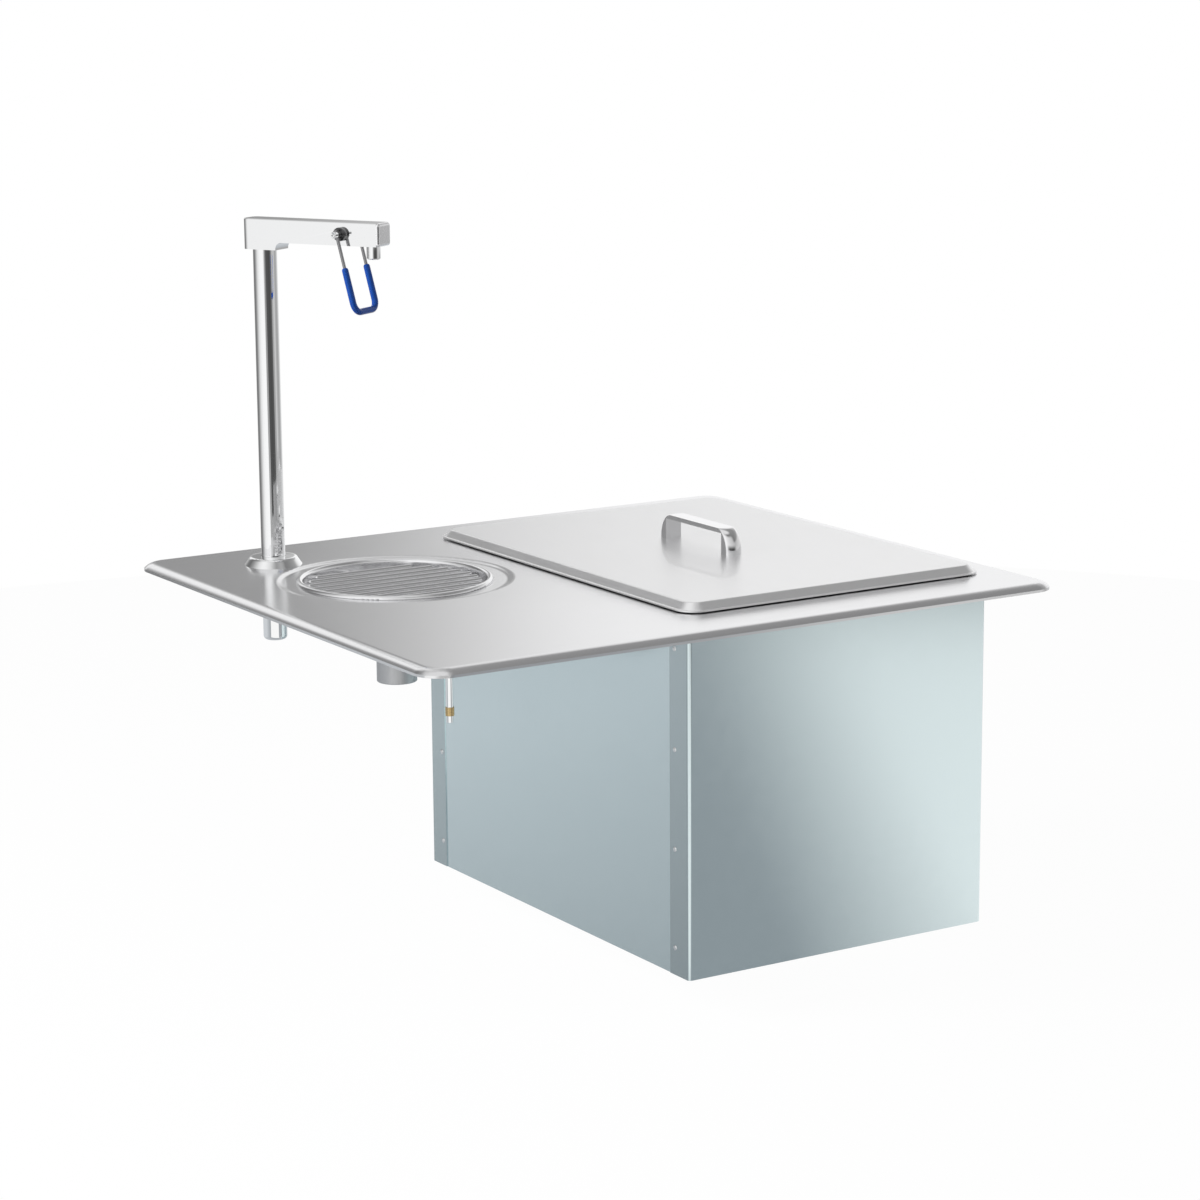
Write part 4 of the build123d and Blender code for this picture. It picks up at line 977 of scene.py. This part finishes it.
@dataclass(frozen=True)
class DripGrate:
    """Round-wire grate: bars on cross wires, with rounded ends and a weld at each crossing."""

    wire: float = 0.0048
    bar_pitch: float = 0.0152
    bars: int = 9
    cross_pitch: float = 0.030
    cross_wires: int = 5
    weld: float = 0.0003
    bead: Point = (1.2, 1.2, 0.4)
    wire_sides: int = 20
    tip_rings: int = 12
    bead_sides: int = 16
    bead_rings: int = 8
    sharp: float = 40.0

    def family(self, tree: Pattern, count: str, pitch: str) -> Socket:
        """Parallel wires along X that end on the circle.

        Args:
            tree: The tree.
            count: Name of the input with the number of wires.
            pitch: Name of the input with their distance.

        Returns:
            The wires, centred on the origin.
        """
        last = tree.math("SUBTRACT", count, 1.0)
        first = tree.math("MULTIPLY", tree.math("MULTIPLY", last, pitch), -0.5)
        line = tree.out("GeometryNodeMeshLine", {"Count": count, "Start Location": tree.vector(y=first),
                                                 "Offset": tree.vector(y=pitch)})
        place = tree.node("ShaderNodeSeparateXYZ", {0: tree.out("GeometryNodeInputPosition")}).outputs["Y"]
        square = tree.math("MULTIPLY", "Radius", "Radius")
        half = tree.math("SQRT", tree.math("SUBTRACT", square, tree.math("MULTIPLY", place, place)))
        bar = tree.moved(tree.drum(self.wire_sides, "Wire", 2.0), Rotation=(0.0, math.pi / 2, 0.0))
        tip = tree.ball(self.wire_sides, self.tip_rings, "Wire")
        shapes = [tree.copies(line, bar, tree.vector(half, 1.0, 1.0))]
        for side in (-1.0, 1.0):
            shift = tree.vector(tree.math("MULTIPLY", half, side))
            ends = tree.out("GeometryNodeSetPosition", {"Geometry": line, "Offset": shift})
            shapes.append(tree.copies(ends, tip))
        return tree.joined(shapes)

    def welds(self, tree: Pattern) -> Socket:
        """Flat bead at each crossing of two wires inside the circle.

        Args:
            tree: The tree.

        Returns:
            The beads, centred on the origin.
        """
        wide = tree.math("MULTIPLY", tree.math("SUBTRACT", "Cross_wires", 1.0), "Cross_pitch")
        deep = tree.math("MULTIPLY", tree.math("SUBTRACT", "Bars", 1.0), "Bar_pitch")
        grid = tree.out("GeometryNodeMeshGrid", {"Size X": wide, "Size Y": deep, "Vertices X": "Cross_wires",
                                                 "Vertices Y": "Bars"})
        place = tree.out("GeometryNodeInputPosition")
        reach = tree.node("ShaderNodeVectorMath", {0: place}, operation="LENGTH").outputs["Value"]
        outside = tree.out("FunctionNodeCompare", {0: reach, 1: "Radius"}, operation="GREATER_THAN")
        crossings = tree.out("GeometryNodeDeleteGeometry", {"Geometry": grid, "Selection": outside})
        return tree.copies(crossings, tree.ball(self.bead_sides, self.bead_rings, "Wire"), self.bead)

    def build(self, dresser: Dresser) -> None:
        """Grow the grate in the place of its node.

        Args:
            dresser: Holds nodes and finishes.
        """
        low, high = (Vector(corner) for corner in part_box("drip_grate"))
        radius = (high.x - low.x) / 2 - self.wire / 2
        tree = Pattern("Welded wire grate", Radius=radius, Wire=self.wire / 2, Bars=self.bars,
                       Bar_pitch=self.bar_pitch, Cross_wires=self.cross_wires, Cross_pitch=self.cross_pitch,
                       Rise=self.wire - self.weld)
        bars = tree.moved(self.family(tree, "Bars", "Bar_pitch"), Translation=tree.vector(z="Rise"))
        wires = tree.moved(self.family(tree, "Cross_wires", "Cross_pitch"), Rotation=(0.0, 0.0, math.pi / 2))
        welds = tree.moved(self.welds(tree), Translation=tree.vector(z=tree.math("MULTIPLY", "Rise", 0.5)))
        mesh = tree.grow(tree.joined((bars, wires, welds)), dresser.materials[Slot.WIRE], self.sharp)
        centre = (low + high) / 2
        mesh.transform(Matrix.Translation((centre.x, centre.y, low.z + self.wire / 2)))
        dresser.place("wire_grate", mesh, "drip_grate")


@dataclass(frozen=True)
class CasingRivets:
    """Domed rivets down the four seams of the casing."""

    per_seam: int = 4
    head: float = 0.0025
    height: float = 0.001
    sides: int = 24
    rings: int = 12
    sharp: float = 60.0

    def build(self, dresser: Dresser) -> None:
        """Grow the rivets in the place of their node.

        Args:
            dresser: Holds nodes and finishes.
        """
        low, high = (Vector(corner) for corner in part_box("casing_rivets"))
        tree = Pattern("Riveted seams", Rivets=self.per_seam, Head=self.head, Height=self.height,
                       Length=high.x - low.x - 2 * self.height, Seams=high.y - low.y - 2 * self.head,
                       Drop=high.z - low.z - 2 * self.head)
        step = tree.math("DIVIDE", "Drop", tree.math("SUBTRACT", "Rivets", 1.0))
        top = tree.math("MULTIPLY", "Drop", 0.5)
        line = tree.out("GeometryNodeMeshLine", {
            "Count": "Rivets", "Start Location": tree.vector(z=top),
            "Offset": tree.vector(z=tree.math("MULTIPLY", step, -1.0))})
        corners = tree.out("GeometryNodeMeshGrid", {"Size X": "Length", "Size Y": "Seams", "Vertices X": 2,
                                                    "Vertices Y": 2})
        places = tree.real(tree.copies(corners, line))
        flat = tree.vector(tree.math("DIVIDE", "Height", "Head"), 1.0, 1.0)
        heads = tree.copies(places, tree.ball(self.sides, self.rings, "Head"), flat)
        mesh = tree.grow(heads, dresser.materials[Slot.FASTENER], self.sharp)
        mesh.transform(Matrix.Translation((low + high) / 2))
        dresser.place("domed_rivets", mesh, "casing_rivets")


@dataclass(frozen=True)
class BinStrainer:
    """Perforated disc over the drain of the ice bin."""

    hole: float = 0.0022
    ring: float = 0.011
    holes: int = 6
    rings: tuple[float, ...] = (0.5, 1.0)
    sides: int = 96
    hole_sides: int = 24
    sharp: float = 40.0

    def build(self, dresser: Dresser) -> None:
        """Grow the strainer in the place of its node.

        Args:
            dresser: Holds nodes and finishes.
        """
        low, high = (Vector(corner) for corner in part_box("bin_strainer"))
        tree = Pattern("Perforated disc", Radius=(high.x - low.x) / 2, Height=high.z - low.z, Hole=self.hole,
                       Ring=self.ring, Holes=self.holes)
        disc = tree.drum(self.sides, "Radius", "Height")
        punch = tree.drum(self.hole_sides, "Hole", tree.math("MULTIPLY", "Height", 3.0))
        shapes = [punch]
        for share in self.rings:
            reach = tree.math("MULTIPLY", "Ring", share)
            circle = tree.out("GeometryNodeMeshCircle", {"Vertices": "Holes", "Radius": reach})
            shapes.append(tree.copies(circle, punch))
        cut = tree.out("GeometryNodeMeshBoolean", {"Mesh 1": disc, "Mesh 2": tree.real(tree.joined(shapes))},
                       operation="DIFFERENCE")
        mesh = tree.grow(cut, dresser.materials[dresser.slots["bin_strainer"]], self.sharp)
        mesh.transform(Matrix.Translation((low + high) / 2))
        dresser.place("punched_strainer", mesh, "bin_strainer")


# Pieces shaped by hand

@dataclass(frozen=True)
class LidHandle:
    """Polished bow handle: flat bar, elliptic ends that are also round in plan, upright inner faces."""

    window: float = 0.093
    bar: float = 0.004
    shoulder: float = 0.0165
    foot_rise: float = 0.002
    end_radius: float = 0.0117
    edge: float = 0.0007
    edge_steps: int = 4
    slices: int = 28
    end_steps: int = 20
    shift: float = 0.002
    sharp: float = 32.0

    def outline(self, inset: float, half: float, height: float) -> list[Pair]:
        """Side outline of one slice.

        Args:
            inset: How far the outer line is drawn in.
            half: Half of the slice's length.
            height: Height of the crown.

        Returns:
            Points (along, up) round the slice, the same number for every slice.
        """
        reach, crown = half - inset, height - inset
        centre = half - self.shoulder
        points = []
        for side in (1, -1):
            for step in range(self.end_steps + 1):
                turn = math.pi / 2 * (step if side == 1 else self.end_steps - step) / self.end_steps
                along = centre + (reach - centre) * math.cos(turn)
                rise = self.foot_rise + (crown - self.foot_rise) * math.sin(turn)
                points.append((side * along, rise))
            if side == 1:
                points.insert(0, (reach, 0.0))
        points.append((-reach, 0.0))
        inner = self.window / 2
        bar = height - self.bar
        points += [(-inner, 0.0), (-inner, bar), (inner, bar), (inner, 0.0)]
        return points

    def build(self, dresser: Dresser) -> None:
        """Loft the handle in the place of its node.

        Args:
            dresser: Holds nodes and finishes.
        """
        low, high = (Vector(corner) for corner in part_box("lid_handle"))
        middle = (low + high) / 2
        breadth = high.x - low.x
        edge = breadth / 2
        flat = edge - self.edge
        turns = [math.pi / 2 * k / self.edge_steps for k in range(self.edge_steps)]
        places = [-edge + self.edge * (1 - math.cos(turn)) for turn in turns]
        places += [-flat + 2 * flat * k / self.slices for k in range(self.slices + 1)]
        places += [-place for place in reversed(places[:self.edge_steps])]
        points = []
        for across in places:
            past = max(abs(across) - flat, 0.0)
            inset = self.edge - math.sqrt(max(self.edge ** 2 - past ** 2, 0.0))
            bulge = math.sqrt(self.end_radius ** 2 - across ** 2) - self.end_radius
            outline = self.outline(inset, (high.y - low.y) / 2 + bulge, high.z - low.z)
            points += [(middle.x + across, middle.y + self.shift + along, low.z + rise)
                       for along, rise in outline]
        mesh = lofted(points, len(outline), "bow_handle", self.sharp)
        dresser.place("bow_handle", mesh, "lid_handle")


@dataclass(frozen=True)
class LeverGrip:
    """Dipped coating of the lever: a U with soft ends, a little fuller at its foot."""

    start: float = 0.0305
    spread: float = 0.0188
    drop: float = 0.0715
    corner: float = 0.009
    radius: float = 0.003
    wire: float = 0.00152
    lean: float = 14.5
    taper: float = 0.0025
    leg: tuple[float, ...] = (0.0, 0.004, 0.015, 0.035, 0.06, 0.3, 0.6, 0.9)
    steps: int = 10
    sides: int = 24
    sharp: float = 60.0

    def path(self) -> list[tuple[Vector, Vector]]:
        """Centre line of the U, in the plane of the lever.

        Returns:
            Its points, each with the direction there.
        """
        low = -self.drop
        turn = [math.pi / 2 * k / self.steps for k in range(self.steps + 1)]
        line = []
        run = self.drop - self.corner - self.start
        for share in self.leg:
            line.append((Vector((0, -self.spread, -self.start - run * share)), Vector((0, 0, -1))))
        centre = Vector((0, -self.spread + self.corner, low + self.corner))
        for angle in turn:
            out = Vector((0, -math.cos(angle), -math.sin(angle)))
            line.append((centre + self.corner * out, Vector((0, math.sin(angle), -math.cos(angle)))))
        line.append((Vector((0, 0, low)), Vector((0, 1, 0))))
        other = [(Vector((0, -p.y, p.z)), Vector((0, d.y, -d.z))) for p, d in reversed(line[:-1])]
        return line + other

    def build(self, dresser: Dresser) -> None:
        """Sweep the grip in the place of its node.

        Args:
            dresser: Holds nodes and finishes.
        """
        low, high = (Vector(corner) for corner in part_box("pivot_pin"))
        pin = (low + high) / 2
        frame = Matrix.Translation(pin) @ Matrix.Rotation(math.radians(ARM_HEADING), 4, "Z")
        frame @= Matrix.Rotation(math.radians(-self.lean), 4, "Y")
        line = self.path()
        lengths = [0.0]
        for (a, _), (b, _) in zip(line, line[1:]):
            lengths.append(lengths[-1] + (b - a).length)
        points = []
        for (place, along), length in zip(line, lengths):
            end = min(length, lengths[-1] - length)
            share = min(end / self.taper, 1.0)
            radius = self.wire + (self.radius - self.wire) * math.sqrt(1 - (1 - share) ** 2)
            side = along.cross(Vector((1, 0, 0)))
            for k in range(self.sides):
                turn = 2 * math.pi * k / self.sides
                rim = place + radius * (math.cos(turn) * Vector((1, 0, 0)) + math.sin(turn) * side)
                points.append(frame @ rim)
        dresser.place("dipped_grip", lofted(points, self.sides, "dipped_grip", self.sharp), "lever_grip")


@dataclass(frozen=True)
class EndCap:
    """Cap on the end of the filler arm: a plate with rounded edges, and its plug."""

    plate: float = 0.003
    plug: float = 0.0057
    plug_radius: float = 0.0063
    rounding: float = 0.0028
    rounding_steps: int = 6
    plug_sides: int = 48
    sharp: float = 40.0

    def build(self, dresser: Dresser) -> None:
        """Make the cap in the place of its node.

        Args:
            dresser: Holds nodes and finishes.
        """
        column = [Vector(corner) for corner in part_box("filler_column")]
        middle = (column[0] + column[1]) / 2
        turn = Matrix.Rotation(math.radians(ARM_HEADING), 4, "Z")
        back = turn.inverted() @ Matrix.Translation((-middle.x, -middle.y, 0))
        local = [back @ vertex.co for vertex in dresser.nodes["arm_end_cap"].data.vertices]
        front = max(point.x for point in local)
        side = max(point.y for point in local)
        low, high = min(point.z for point in local), max(point.z for point in local)
        work = bmesh.new()
        size = Matrix.Diagonal((self.plate, 2 * side, high - low, 1))
        centre = Matrix.Translation((front - self.plate / 2, 0, (low + high) / 2))
        bmesh.ops.create_cube(work, size=1.0, matrix=centre @ size)
        outer = [edge for edge in work.edges if all(vertex.co.x > front - LEVEL for vertex in edge.verts)]
        outer += [edge for edge in work.edges if abs(edge.verts[0].co.x - edge.verts[1].co.x) > LEVEL]
        bmesh.ops.bevel(work, geom=outer, offset=self.rounding, segments=self.rounding_steps, profile=0.5,
                        affect="EDGES", clamp_overlap=True)
        plug = Matrix.Translation((front - self.plate - self.plug / 2, 0, (low + high) / 2))
        bmesh.ops.create_cone(work, cap_ends=True, segments=self.plug_sides, radius1=self.plug_radius,
                              radius2=self.plug_radius, depth=self.plug,
                              matrix=plug @ Matrix.Rotation(math.pi / 2, 4, "Y"))
        mesh = bpy.data.meshes.new("rounded_end_cap")
        work.to_mesh(mesh)
        work.free()
        mesh.transform(Matrix.Translation((middle.x, middle.y, 0)) @ turn)
        faceted(mesh, self.sharp)
        dresser.place("rounded_end_cap", even_normals(mesh), "arm_end_cap")


def main() -> None:
    """Load the frame, then build the pieces in order."""
    logging.basicConfig(level=logging.INFO, format="%(message)s")
    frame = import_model()
    Studio().build()
    for which, texture in TEXTURES.items():
        texture.build(which.value)
    dresser = Dresser(frame)
    dresser.dress_nodes()
    for part in (Rounding(), DripGrate(), CasingRivets(), BinStrainer(), LidHandle(), LeverGrip(), EndCap()):
        part.build(dresser)


if __name__ == "__main__":
    main()
